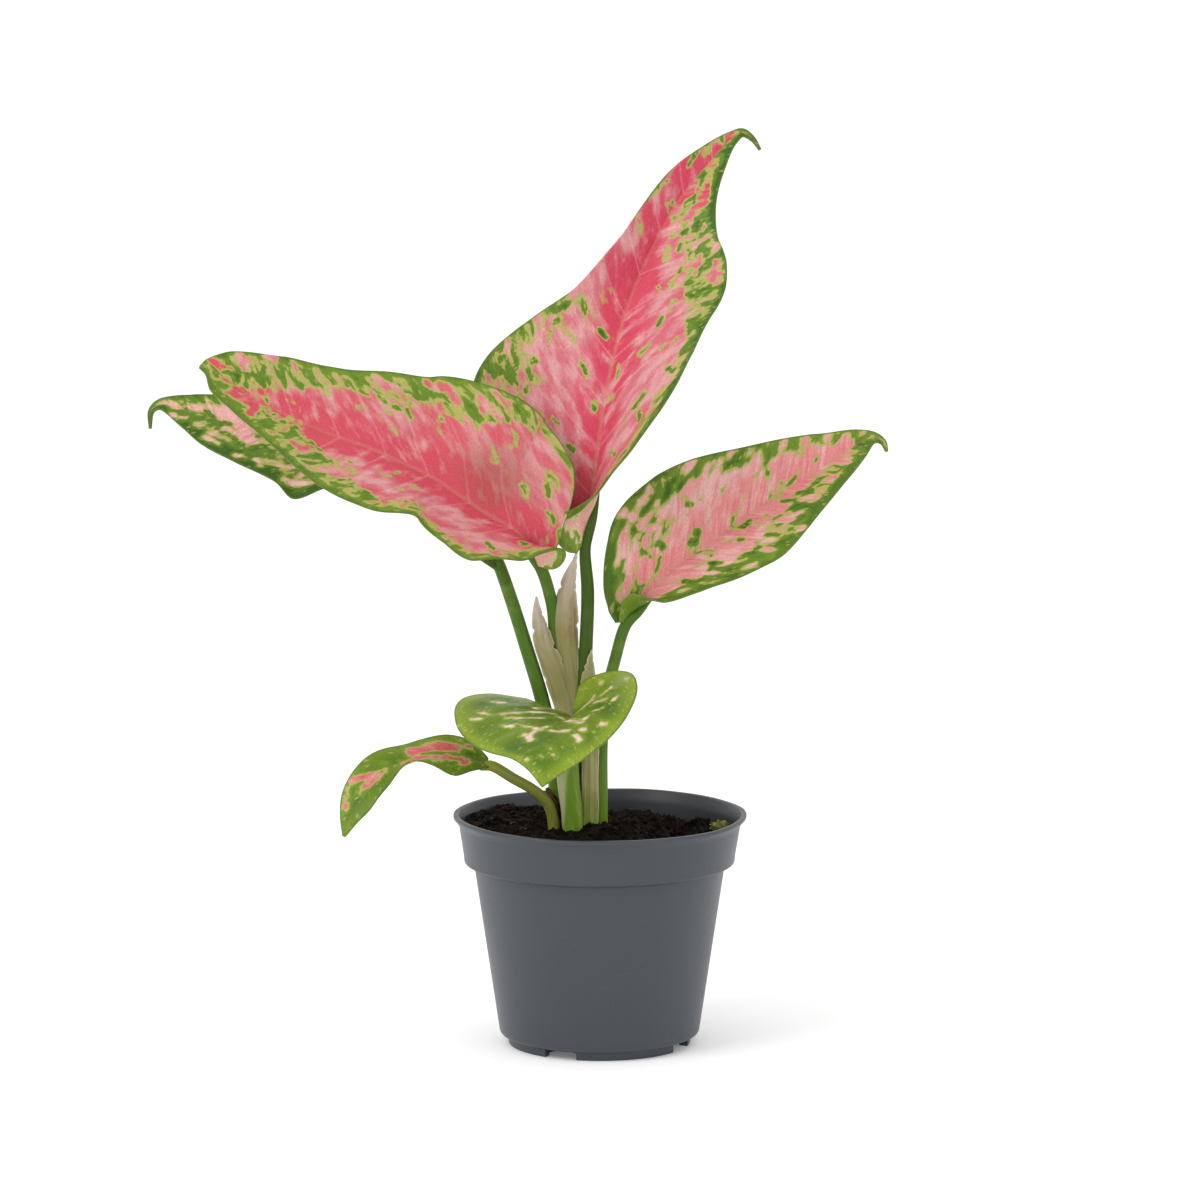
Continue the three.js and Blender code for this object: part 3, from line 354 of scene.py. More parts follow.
# Spots on the blades, each from one point to another with its width: millimetres along the midrib and
# out from it, to the left below zero. Islands are green in the pink, haloes only yellowish, and clearings
# pink in the green.
SPOTS = dict(
  top=dict(
    islands=(
      (42.9, -3.9, 42.3, -2.2, 2.2), (36.2, -6.1, 34.7, -5.1, 1.2), (34.7, -4.7, 33.7, -3.9, 0.6),
      (28.9, -2.3, 27.6, -1.9, 1.2), (29.9, -16.7, 28.9, -16.4, 1), (24.5, -10.2, 23.7, -8.9, 1.6),
      (19.3, -6.2, 18.5, -5.3, 1), (42.9, -13.5, 40.8, -13.8, 1), (39.7, -13.8, 38.2, -13.7, 0.8),
      (45, -13.6, 46.5, -11.5, 1.4), (36.2, -16, 35.2, -15.6, 1.2), (36.2, -20.3, 32.3, -18.8, 1.6),
      (34.2, -21.2, 32.3, -20.5, 1.4), (37.2, -19.8, 39.2, -19.1, 1), (29.4, -21.1, 29.9, -21.6, 0.8),
      (36.7, 2.1, 33.7, 2.5, 0.8), (18.9, 7, 18.1, 9.8, 1), (25.4, 9.5, 23.2, 9.1, 0.6),
      (27.1, 13, 25.4, 14.5, 1.6), (28.5, 11.1, 27.6, 10.1, 1), (43.4, 15.4, 40.8, 12.3, 0.6),
      (35.7, 16.5, 35.2, 18.6, 1.8), (48.1, 9.2, 46, 9, 0.6), (55, 5.2, 54.5, 5.9, 1.2),
      (55.5, 11.9, 55, 13.6, 2.4), (56.6, 13.7, 57.6, 15.1, 1.6), (62.2, 8.1, 59.1, 7.9, 0.6),
      (65.2, 8.9, 62.7, 9, 0.8), (69.9, 4.1, 66.6, 5.2, 0.6), (66.6, 5.2, 64.2, 5.6, 0.8),
      (78.5, 1.2, 75.2, 3.3, 1.2), (81.5, 0.9, 79.2, 1.8, 2), (72.2, 6.1, 69, 7.6, 1),
      (83.9, -3.5, 80.7, -3, 0.8), (75.7, -4.6, 74.8, -4.9, 0.8), (72.2, -6.1, 71.3, -6.3, 0.8),
      (42.9, -17.2, 40.8, -17.9, 0.6), (3.1, -3.1, 2.6, -2.6, 0.5),
    ),
    haloes=(
      (43.4, -12, 42.9, -10.9, 1), (41.8, -10.3, 39.7, -9.1, 0.8), (47.6, -8.6, 46, -7.9, 0.8),
      (44.4, -7, 43.4, -6.5, 0.6), (47.6, -10.2, 48.7, -9.9, 0.8), (48.7, -5.5, 50.8, -5.4, 0.8),
      (31.8, -14.6, 31.8, -13.9, 1), (30.8, 1.8, 27.6, 2.1, 0.6), (41.3, 8.5, 39.2, 7.6, 0.6),
      (30.8, 12.4, 29.4, 10.9, 0.6), (57.6, 7.5, 56, 8.2, 0.8), (52.4, 10.1, 50.8, 10.2, 0.6),
      (63.7, 3.5, 62.2, 3.9, 0.8), (69.9, 1.9, 67.1, 3.1, 1), (86, -2.2, 84.8, -2.7, 0.8),
      (66.2, -5.9, 63.7, -5, 0.4), (72.2, -1.5, 71.8, -0.8, 0.8),
    ),
    clearings=(
      (80, 3.3, 77.7, 4.2, 1.4), (72.2, 7.8, 70.4, 8.5, 0.8), (73.5, 4, 69, 5.9, 1.2),
      (68.5, 12.5, 67.6, 12.7, 1.2), (65.2, 13.9, 60.2, 15.6, 1.2), (68.1, 8.3, 64.2, 8.9, 1),
      (65.2, 10.4, 60.2, 11.4, 1.6), (37.2, -21.7, 35.7, -22.2, 1.2), (29.4, -17.7, 28, -19.5, 1.6),
      (30.8, -22.2, 27.6, -22.3, 1.2), (30.8, -24.4, 28.5, -24.8, 1.2), (33.7, -22.2, 33.2, -21.9, 1),
    ),
  ),
  left=dict(
    islands=(
      (77.5, 0.8, 74.1, 2.2, 1.4), (74.5, 2.9, 70.9, 4.4, 1.2), (73.3, 6.3, 70.1, 6.8, 0.8),
      (67.3, 9.8, 62.8, 10, 1), (63.8, 10.4, 61.7, 9.7, 0.8), (56.9, 12.7, 52, 12.6, 1.4),
      (52, 12.6, 47.4, 12.3, 1.6), (49.1, 10.3, 46.5, 10.1, 1.2), (46.9, 13.3, 45.2, 12.3, 1.2),
      (45.2, 10.6, 43.9, 10, 0.8), (41.7, 9.8, 41.2, 9.7, 0.8), (39.5, 10.5, 38.2, 9.4, 1),
      (39.5, 13.3, 37.3, 13.7, 1.4), (41.7, 13.6, 39.9, 13.9, 0.6), (33.4, 16.9, 32.1, 15.4, 1.4),
      (34.7, 15.9, 34.7, 14.1, 0.6), (32.5, 12.1, 32.1, 11.4, 0.6), (30, 17.2, 29.2, 15.4, 1),
      (29.2, 15.1, 29.2, 14.4, 0.8), (28, 13.8, 27.2, 13.4, 0.8), (27.6, 17.8, 26.4, 17.6, 0.8),
      (23.6, 21.4, 21.8, 20.7, 2.4), (26, 21.5, 23.6, 22.5, 1.2), (17.9, 19.7, 16.3, 19.3, 1.4),
      (22.5, 11.9, 21.4, 10.7, 0.8), (9.9, 13.2, 8.6, 9.8, 0.5), (7.5, 14.2, 6.7, 13.7, 0.8),
      (4, 4.1, 3.5, 3.7, 0.6), (7.9, -4.3, 7.7, -4.7, 0.4), (66.7, -2, 64.8, -3.1, 1.6),
      (65.4, -3.8, 67, -5.7, 1.6), (65.7, -5.5, 59.9, -5, 1.8), (63.8, -1.9, 61.7, -2.3, 0.6),
      (62.8, 3, 61.4, 2.8, 0.6), (59.5, -2.1, 58, -1.9, 0.6), (55.7, -4.2, 53.3, -5.4, 1),
      (57.6, -8.8, 54.9, -8.6, 0.8), (52, -7.9, 50.8, -6.4, 0.6), (49.9, -6.8, 49.1, -8.6, 0.8),
      (48.2, -5.5, 46.9, -6, 0.6), (50.8, -13, 46.1, -12.3, 1.6), (44.3, -14.7, 39.9, -13, 1.2),
      (34.7, -11.4, 28, -10.1, 0.6), (25.6, -14.9, 22.1, -15, 1.6), (21.8, -14.6, 20.3, -15.2, 1.2),
      (14.2, -9.2, 13, -10.5, 1.6),
    ),
    haloes=(
      (48.2, 7.7, 47.4, 7.4, 1), (56.1, 8.2, 54.9, 7.5, 0.8), (43, 7.5, 39.9, 5.6, 0.6),
      (21.4, 16.2, 20, 16.2, 1), (20.7, 15.7, 19.6, 14.6, 0.8), (25.2, 18.6, 24, 17.4, 0.6),
      (21.4, 10.7, 20.7, 10, 0.8), (9.7, 13.7, 9.2, 12.4, 0.8), (13, 11.8, 12.2, 11, 0.8),
      (11.7, 8.5, 10.9, 7.3, 0.8), (6, 5.4, 6.4, 7.6, 1), (7.9, -4.6, 7.5, -5.1, 0.8),
      (18.3, -12.6, 17.6, -12.4, 0.8), (26.4, 4.5, 25.2, 3.8, 0.8), (69.3, 1.4, 67.6, 0.9, 1.6),
      (61, 2.1, 60.3, 1.9, 0.6), (59.2, -0.8, 58, -3.7, 1.2), (61, -0.2, 60.3, -0.9, 0.6),
      (53.3, -6.3, 52, -7.7, 1.4), (50.3, -5.5, 47.4, -5.5, 1.2), (47.4, -7, 46.5, -7.9, 1),
      (45.2, -12.5, 43, -13.5, 1.4), (40.4, -5.3, 39, -5.2, 0.8), (39, -3.2, 36.9, -3.5, 0.4),
      (35.6, -8.3, 35.1, -8.8, 0.8), (33.4, -5.6, 32.5, -5.8, 0.6), (14.2, -13.4, 13, -13.3, 1.2),
    ),
    clearings=(
      (75.9, 5.5, 74.7, 5.4, 2), (72.1, 8.6, 69.8, 9.3, 1.8), (79.9, 1.6, 79.1, 1.4, 1.4),
      (78, 1.7, 76.2, 2.5, 0.8), (38.2, 17.2, 34.3, 17, 1.8), (44.3, 13.5, 42.1, 13.6, 1.6),
      (31.7, 17.2, 30.9, 16.1, 1.2), (33.4, 15.1, 33, 13.1, 1.4), (28.8, 18.6, 27.6, 16.7, 1.6),
      (26, 17.4, 24.4, 17.6, 1.2), (59.2, -6.8, 56.5, -7, 1.6), (68.5, -1.6, 68.7, -4.1, 2.4),
      (57.3, -10.6, 54.9, -11.5, 1), (51.2, -8.1, 50.3, -9.2, 1), (48.2, -6.9, 47.8, -7.6, 0.8),
      (52.4, -10.7, 47.8, -10.2, 1.2), (39, -12.5, 36, -11.3, 0.8),
    ),
  ),
  back_left=dict(
    islands=(
      (55.6, -4, 53.5, -5.4, 1.8), (59.3, -5.7, 55.2, -6.4, 0.8), (65.3, -2.6, 58.9, -5.4, 1),
      (69.2, 3, 68.3, 2.8, 1), (69.2, 1, 68.6, 0.8, 0.8), (74, 2, 72.7, 1.9, 0.8),
      (64.6, -0.3, 62.8, 0, 0.4), (72.9, 0.2, 67, 0.2, 0.6),
    ),
    haloes=(),
    clearings=(
      (75.1, -2.3, 72.4, -2, 1), (67, -5.6, 64.2, -6.3, 1.2), (60.1, -8.3, 58.1, -8.2, 0.8),
      (56.1, -8.1, 54.8, -9.3, 1.2), (54.8, -8.7, 49.6, -8.2, 0.8), (49.6, -11.4, 45.6, -11.5, 1.6),
      (62.8, 1.3, 58.5, -3.1, 3.3), (64.2, -1.4, 59.3, -3.5, 2),
    ),
  ),
  right=dict(
    islands=(
      (16, -8.3, 14.4, -6.4, 1), (13, -7.3, 13, -4.9, 1), (13.8, -8.1, 13.8, -7.2, 0.8),
      (15.7, -5.5, 16, -4.7, 1), (20.9, -2.1, 21.9, -2.1, 1), (23.3, -3.5, 22.6, -2.9, 0.8),
      (23.6, -7.3, 23.3, -6.8, 1), (25, -8.9, 25.7, -8.7, 0.6), (24.3, -10.6, 25.7, -10.7, 0.8),
      (20.3, -13.2, 22.6, -14.3, 1), (22.6, -14.4, 27.4, -14.4, 1.4), (27.8, -12.7, 28.9, -13.3, 1),
      (26.4, -12.5, 29.9, -13.7, 0.4), (33.9, -11.5, 36.1, -11, 0.8), (36.1, -10.6, 37.9, -10.3, 1),
      (37.6, -11.5, 40.5, -11.1, 1), (39.4, -12.1, 42.6, -10.7, 0.6), (42.9, -9.6, 45.3, -8.5, 0.6),
      (44.3, -9.2, 46.6, -8.4, 0.6), (47.6, -6.1, 49.8, -6, 0.6), (41.2, -8.3, 41.9, -8.1, 0.6),
      (54.7, -3.7, 55.2, -3.4, 0.4), (57.2, -4.1, 60.4, -3.1, 0.8), (44, 2.9, 44.6, 3, 0.4),
      (40.8, 2.4, 42.6, 3.3, 0.4), (36.1, 3.1, 38.7, 3.4, 0.4), (31.4, 2.5, 33.2, 1.7, 0.8),
      (28.9, 4.5, 29.9, 5.2, 0.8), (29.9, 7.5, 33.6, 8.5, 0.4), (28.5, 10, 31, 10.5, 0.2),
      (27.4, 10.9, 32.5, 12.8, 0.2), (21.9, 5.7, 20.3, 7.6, 1), (18.7, 8.2, 20.3, 9.6, 0.8),
      (23.3, 6.9, 25.3, 8, 0.4), (17.5, 3.8, 19, 4.3, 0.4), (14.6, 6, 15.7, 9.1, 0.6),
      (16, 9.3, 18.7, 8.7, 0.6), (37.2, 5.6, 40.8, 5.1, 1), (40.1, 5.2, 46, 6.4, 1.6),
      (49.5, 2.9, 53.1, 3.4, 1.4), (53.1, 3.6, 56.7, 2.9, 0.8), (35, 12.6, 40.5, 11.2, 1.2),
      (37.2, 8.9, 39, 9.5, 0.6),
    ),
    haloes=(
      (14.1, -13.1, 14.1, -12.5, 0.8), (15.5, -11, 15.5, -10.6, 0.8), (28.9, -7.6, 28.5, -6.4, 0.8),
      (50.7, -2.9, 51.3, -3, 0.8), (43.6, -1.3, 45, -1.5, 0.6),
    ),
    clearings=(
      (14.6, -14.9, 15.7, -12, 1.8), (14.4, -13.7, 13.6, -12.9, 1), (14.9, -12, 15.5, -9.8, 1.4),
      (14.4, -9.8, 13.8, -7.5, 1), (12.3, -10.6, 10.1, -8.8, 1.6), (12.8, -8.7, 10.6, -6.9, 1.6),
      (9.3, -7.2, 6.4, -4.5, 1.6), (11.5, -5.8, 8.5, -2.9, 1.8), (8.5, -5.1, 6.4, -2.8, 1.6),
      (17.2, -15.6, 17.2, -14.9, 1), (19.7, -16.2, 19.7, -15.2, 1.6), (19.3, -13.5, 19, -12.6, 1.2),
      (18.4, -14.6, 17.8, -14, 1), (24.3, -15.6, 26.7, -15.2, 1), (40.5, 6.8, 42.2, 7.8, 0.8),
      (37.9, 8.2, 40.1, 8.6, 1), (39.4, 11.9, 40.8, 12.1, 0.8), (36.5, 12.1, 38.7, 13, 0.6),
      (45.6, 3.4, 49.5, 3.8, 0.6),
    ),
  ),
  front=dict(
    islands=(),
    haloes=(),
    clearings=(
      (14, 12.6, 6.5, 3, 0.5), (15.1, 11.9, 12.7, 4.2, 0.4), (18.7, 10.9, 18.7, 9.4, 1.2),
      (17.5, 8.7, 19.5, 3.8, 0.6), (22.2, 5.8, 24.8, 4.7, 1.6), (21.8, 5.3, 18.1, 2.5, 0.8),
      (20.3, 1, 20.5, -2.6, 1), (9.4, 1.5, 18.3, -4.5, 1.2), (23.2, -4.5, 25.2, -5.4, 1.2),
      (21.4, -4.9, 21.6, -5.7, 1), (6.8, -2.2, 7.4, -10, 0.8), (6.7, -3.2, 4.8, -6.5, 0.6),
      (9.4, -6.4, 11.2, -9.4, 1), (20.5, -9.4, 20.8, -9.9, 1.2), (14, -7.2, 14.2, -7.9, 0.8),
      (27.8, 0, 28.4, -0.1, 1), (29.9, -0.6, 29.9, -0.8, 1), (30.7, 1.3, 30.7, 1.2, 0.8),
      (31.7, 4.2, 31.6, 4.1, 0.6), (16.9, 18.4, 16.3, 16.6, 1), (19.3, 20.6, 19.1, 19.9, 1),
      (14.5, 17.7, 14.4, 15.1, 0.5), (8, 14.8, 7, 13.5, 0.7), (5.8, 7.7, 3.4, 6.4, 0.8),
      (8.6, 16.8, 8, 15.9, 0.4), (3.1, -9.1, 3.4, -9.7, 0.5), (7.8, -13.5, 8.4, -14.3, 0.5),
      (16.3, -5.4, 15.9, -6.1, 0.6), (12.7, -11.2, 12.3, -11.9, 0.6),
    ),
  ),
  low_left=dict(
    islands=(),
    haloes=(),
    clearings=(
      (28.1, 3.9, 26.1, 2.1, 1), (26.1, 2.1, 21.6, 0.4, 1), (29.1, 1.1, 22.6, 0.1, 1.2),
      (30.1, 3.4, 31.1, 2.9, 0.7), (32, 2.7, 33.1, 1.9, 1), (15.9, 1.8, 6.9, 2.2, 2.7),
      (18.5, -0.4, 5, -1.2, 1.8), (5.7, 2.4, 4, 2.8, 1.2), (6.9, 3.9, 6, 3.7, 0.6),
    ),
  ),
)
# Lumps of the peat: x, y, height and spread.
PEAT_LUMPS = (
    (12.8, 11.0, 2.2, 2.6),
    (20.3, 9.0, 2.6, 1.8),
    (16.4, 10.5, 1.2, 1.6),
    (23.5, 6.0, 1.5, 4.0),
    (-18.0, 14.0, 0.8, 7.0),
    (0.0, 3.0, 1.0, 6.0),
    (5.6, -4.6, 2.0, 2.6),
    (11.0, -8.0, 1.2, 5.0),
    (-12.0, -14.0, 0.6, 6.0),
)

# The tuft of moss: x, y and radius.
MOSS = (24.6, 5.0, 1.5)

# The camera looks at a point on the pot's axis from this distance, this many degrees above level.
VIEW = dict(x=0.1, height=91.33, distance=1300.0, slope=8.67)


# ------------------------------------------------------------------ the sizes and colours a user may change


def colour_setting(name, description, code):
    return FloatVectorProperty(
        name=name, description=description, subtype="COLOR", default=tint(code), size=3
    )


def length_setting(name, description, millimetres):
    return FloatProperty(
        name=name, description=description, default=millimetres * MM, min=0.0, unit="LENGTH"
    )


class EvergreenBladeSettings(bpy.types.PropertyGroup):
    """The leaf blades."""

    thickness: length_setting("Thickness", "Thickness of a blade", 0.5)
    pucker: length_setting("Pucker", "How far a blade swells between its side veins", 0.16)
    rose: colour_setting("Rose", "Middle of a blade", 0xC06772)
    deep_rose: colour_setting("Deep rose", "Beside the midrib", 0xC03C54)
    blush: colour_setting("Blush", "Pale streaks along the veins", 0xCB9A98)
    green: colour_setting("Green", "Margins and islands", 0x5A7822)
    deep_green: colour_setting("Deep green", "Middle of the green", 0x345A12)
    halo: colour_setting("Halo", "Edge between pink and green", 0xA0A056)


class EvergreenStemSettings(bpy.types.PropertyGroup):
    """The stalks, the cane and the sheaths."""

    green: colour_setting("Green", "Upper part of a stalk", 0x4A6A1E)
    pale_green: colour_setting("Pale green", "Foot of a stalk", 0x74962C)
    membrane: colour_setting("Membrane", "Dry sheaths", 0xB9A99A)
    sheath_thickness: length_setting("Sheath thickness", "Thickness of a sheath", 0.28)


class EvergreenPotSettings(bpy.types.PropertyGroup):
    """The moulded pot."""

    plastic: colour_setting("Plastic", "Colour of the pot", 0x33383F)
    segments: IntProperty(name="Segments", description="Steps round the pot", default=224, min=48)
    waver: length_setting("Waver", "How far the thin lip wavers", 0.22)


class EvergreenPeatSettings(bpy.types.PropertyGroup):
    """The peat, its crumbs and its clods."""

    dark: colour_setting("Dark", "Damp peat", 0x100A07)
    warm: colour_setting("Warm", "Dry fibres", 0x2C1C13)
    crumbs: IntProperty(name="Crumbs", description="Crumbs on the peat", default=2200, min=1)
    crumb_size: length_setting("Crumb size", "Radius of a middling crumb", 0.42)
    clods: IntProperty(name="Clods", description="Larger clods on the peat", default=150, min=1)
    clod_size: length_setting("Clod size", "Radius of a middling clod", 0.95)
    seed: IntProperty(name="Seed", description="Seed of the crumbs", default=6)


class EvergreenStudioSettings(bpy.types.PropertyGroup):
    """The floor, the light and the camera."""

    floor: FloatVectorProperty(
        name="Floor", description="Colour of the floor", subtype="COLOR", default=(0.96, 0.96, 0.96), size=3
    )
    glow: FloatProperty(
        name="Glow", description="Light given off by the floor, which thins shadows", default=0.12, min=0.0
    )
    sky: FloatProperty(name="Sky", description="Strength of the even light", default=1.0, min=0.0)
    key: FloatProperty(
        name="Key", description="Power of the large lamp on the left", default=5.0, min=0.0, unit="POWER"
    )
    lens: FloatProperty(name="Lens", description="Focal length of the camera", default=192.54, unit="CAMERA")


# ------------------------------------------------------------------ finishes


class Mark:
    """A socket of a finish, so that shader maths reads as plain expressions."""

    def __init__(self, finish, socket):
        self.finish = finish
        self.socket = socket

    def maths(self, operation, *others):
        sockets = {place: value for place, value in enumerate((self, *others))}
        return self.finish.node("ShaderNodeMath", {"operation": operation}, sockets)

    def __add__(self, other):
        return self.maths("ADD", other)

    __radd__ = __add__

    def __sub__(self, other):
        return self.maths("SUBTRACT", other)

    def __rsub__(self, other):
        return (-self) + other

    def __mul__(self, other):
        return self.maths("MULTIPLY", other)

    __rmul__ = __mul__

    def __truediv__(self, other):
        return self.maths("DIVIDE", other)

    def __neg__(self):
        return self.maths("MULTIPLY", -1.0)

    def __pow__(self, other):
        return self.maths("POWER", other)

    def size(self):
        return self.maths("ABSOLUTE")

    def wave(self):
        return self.maths("SINE")

    def root(self):
        return self.maths("SQRT")

    def rise(self, low, high):
        """0 below low and 1 above high, with a smooth rise between them."""
        sockets = {"Value": self, "From Min": low, "From Max": high}
        return self.finish.node("ShaderNodeMapRange", {"interpolation_type": "SMOOTHSTEP"}, sockets)


class Finish:
    """A procedural material."""

    def __init__(self, name, roughness=0.5, **constants):
        self.material = bpy.data.materials.new(name)
        self.material.use_nodes = True
        self.tree = self.material.node_tree
        self.tree.nodes.clear()
        output = self.tree.nodes.new("ShaderNodeOutputMaterial")
        self.shader = self.tree.nodes.new("ShaderNodeBsdfPrincipled")
        self.tree.links.new(self.shader.outputs["BSDF"], output.inputs["Surface"])
        self.set("Roughness", roughness)
        for socket, value in constants.items():
            self.set(socket.replace("_", " "), value)

    def set(self, socket, value):
        """Gives one socket of the shader a value or a link."""
        self.join(self.shader.inputs[socket], value)

    def join(self, socket, value):
        if isinstance(value, Mark):
            self.tree.links.new(value.socket, socket)
        elif socket.type == "RGBA":
            socket.default_value = (*value[:3], 1.0)
        else:
            socket.default_value = value

    def node(self, kind, settings, sockets, output=0):
        """Adds a node: its settings first, then the values or links of its sockets."""
        made = self.tree.nodes.new(kind)
        for name, value in settings.items():
            setattr(made, name, value)
        for key, value in sockets.items():
            if isinstance(key, int):
                socket = made.inputs[key]
            else:
                socket = next(s for s in made.inputs if s.enabled and key in (s.identifier, s.name))
            self.join(socket, value)
        return Mark(self, made.outputs[output])

    def object_place(self):
        return self.node("ShaderNodeTexCoord", {}, {}, "Object")

    def attribute(self, name):
        return self.node("ShaderNodeAttribute", {"attribute_name": name}, {}, "Vector")

    def parts(self, vector):
        split = self.node("ShaderNodeSeparateXYZ", {}, {0: vector}).socket.node
        return [Mark(self, part) for part in split.outputs]

    def point(self, x, y, z=0.0):
        return self.node("ShaderNodeCombineXYZ", {}, {"X": x, "Y": y, "Z": z})

    def scaled(self, vector, by):
        return self.node("ShaderNodeVectorMath", {"operation": "MULTIPLY"}, {0: vector, 1: by})

    def clouds(self, vector, scale=1.0, detail=2.0, roughness=0.5, distortion=0.0):
        sockets = {"Vector": vector, "Scale": scale, "Detail": detail, "Roughness": roughness}
        return self.node(
            "ShaderNodeTexNoise", {"noise_dimensions": "3D"}, {**sockets, "Distortion": distortion}
        )

    def cells(self, vector):
        """Distance to the middle of the nearest of many irregular cells."""
        sockets = {"Vector": vector, "Scale": 1.0}
        return self.node("ShaderNodeTexVoronoi", {"feature": "F1"}, sockets, "Distance")

    def mix(self, share, first, second):
        """The first colour where share is 0 and the second where it is 1."""
        settings = {"data_type": "RGBA", "clamp_factor": True}
        sockets = {"Factor_Float": share, "A_Color": first, "B_Color": second}
        return self.node("ShaderNodeMix", settings, sockets, 2)

    def shade(self, colour, by):
        """A colour made lighter or darker by a value round 1."""
        return self.node("ShaderNodeVectorMath", {"operation": "SCALE"}, {"Vector": colour, "Scale": by})

    def relief(self, height, distance, strength=1.0):
        """Sets the shader's normal from a height in the texture."""
        sockets = {"Height": height, "Distance": distance, "Strength": strength}
        self.set("Normal", self.node("ShaderNodeBump", {}, sockets, "Normal"))


def blade_finish(name, look, settings):
    """Pink leaf tissue with green margins and islands that follow the side veins."""
    finish = Finish(
        name,
        roughness=0.48,
        Subsurface_Weight=0.08,
        Subsurface_Radius=(1.0, 0.5, 0.3),
        Subsurface_Scale=0.0012,
        Specular_IOR_Level=0.16,
    )
    along, out, margin = finish.parts(finish.attribute("weave"))
    green, under, place = finish.parts(finish.attribute("cast"))
    seed = look["seed"]
    grain = finish.clouds(finish.point(along * 3.2, out * 3.2, seed), detail=2.0, roughness=0.7)
    streaks = finish.clouds(finish.point(along * 1.1, out * 0.14, seed), detail=3.0, roughness=0.6)
    drift = finish.clouds(finish.point(along * 0.11, out * 0.1, seed + 3.0), detail=1.0)
    mottle = finish.clouds(finish.point(along * 0.34, out * 0.3, seed + 5.0), detail=2.0, roughness=0.5)
    patches = finish.clouds(finish.point(along * 0.34, out * 0.36, seed + 7.0), detail=0.0, distortion=0.6)
    flecks = finish.clouds(finish.point(along * 0.8, out * 0.7, seed + 11.0), detail=1.0, distortion=0.3)

    # The pink, deeper beside the midrib and paler in soft patches and along the veins
    away = (out.size() * 0.11).rise(0.0, 1.0)
    depth = (drift - 0.5) * 1.6 + (mottle - 0.5) * 1.3 + look["ruddy"] + 0.4 - away * 0.95
    pink = finish.mix(depth.rise(0.1, 0.95), settings.rose, settings.deep_rose)
    blotches = (mottle - 0.5) * -2.6 + (drift - 0.5) * -1.0 + (streaks - 0.5) * (0.3 + look["pale"] * 1.1)
    paleness = blotches + look["pale"] * 0.9 - 0.4 + away * 0.4
    pink = finish.mix(paleness.rise(0.0, 0.9) * 0.85, pink, settings.blush)
    vein = along + (finish.clouds(finish.point(along * 0.08, out * 0.05, seed + 19.0)) - 0.5) * 3.0
    from_vein = (vein * (math.pi / look["veins"])).wave().size()
    veins = (1.0 - from_vein.rise(0.0, 0.16)) * (1.0 - (out.size() / 20.0).rise(0.3, 1.0))
    pink = finish.mix(veins * (0.08 + look["pale"] * 0.2), pink, tint(0xE6BDBB))

    # Green where the measured depth and the scatter together pass zero, with a yellowish halo
    net = finish.cells(finish.point(along * 0.26 + mottle * 0.7, out * 0.3 + drift * 0.6, seed + 31.0))
    edge = green + (patches - 0.5) * 2.5 + (flecks - 0.5) * 1.5 + (net - 0.45) * look["cells"]
    halo = edge.rise(-0.95, -0.2)
    leafy = edge.rise(-0.2, 0.15)
    greens = finish.mix((edge + (mottle - 0.5) * 1.5).rise(0.3, 1.5), settings.green, settings.deep_green)
    if look["lime"]:
        yellowing = (drift + (1.0 - margin.rise(0.5, 5.0)) * 0.5) * look["lime"]
        greens = finish.mix(yellowing.rise(0.0, 1.0), greens, tint(0x7E9428))
    dots = finish.cells(finish.point(along * 0.7, out * 0.7, seed + 23.0))
    sprinkle = (1.0 - dots.rise(0.14, 0.34)) * mottle.rise(0.42, 0.5)
    greens = finish.mix(sprinkle * 0.65, greens, settings.halo)

    # Salmon and whitish parts of the pink, and a darker, browner patch of painted shade where the blade cups
    # near its foot
    pink = finish.mix((drift * 1.6 + 0.2) * look["warm"], pink, tint(0xC98A70))
    pink = finish.mix((streaks * 0.8 + mottle * 0.5).rise(0.3, 0.75) * look["milk"], pink, tint(0xE6D3C8))
    middle, aside, reach, spread, strength = look["painted_shade"]
    far = (((place - middle) * (1 / reach)) ** 2.0 + ((out - aside) * (1 / spread)) ** 2.0).root()
    painted_shade = (1.0 - (far + (mottle - 0.5)).rise(0.2, 1.0)) * strength
    pink = finish.mix(painted_shade, pink, tint(0x9A4A3C))
    colour = finish.mix(halo, pink, settings.halo)
    colour = finish.mix(leafy, colour, greens)

    # The midrib, and the thin dark line round the margin
    rib = 1.0 - (out.size() + place * 0.5).rise(0.3, 1.0)
    colour = finish.mix(rib * look["rib"], colour, tint(0xB08060))
    edging = (1.0 - margin.rise(0.12, 0.4)) * green.rise(-1.4, -0.5)
    colour = finish.mix(edging * 0.8, colour, tint(0x52682F))
    # The underside: under the pink a pale cream, its own colour; under the green a lighter green, partly its
    # own paler colour and partly painted light where the underside faces down.
    colour = finish.mix(under * (1.0 - leafy) * 0.5, colour, tint(0xEACFB8))
    colour = finish.mix(under * leafy * 0.3, colour, tint(0x93A838))
    finish.set("Base Color", finish.shade(colour, (grain - 0.5) * 0.9 + 1.0))
    finish.set("Roughness", 0.4 + (flecks - 0.5) * 0.15 + under * 0.15)
    finish.relief(grain * 0.3 + mottle * 0.5 - veins * 0.6, 0.00008, 0.5)
    return finish.material


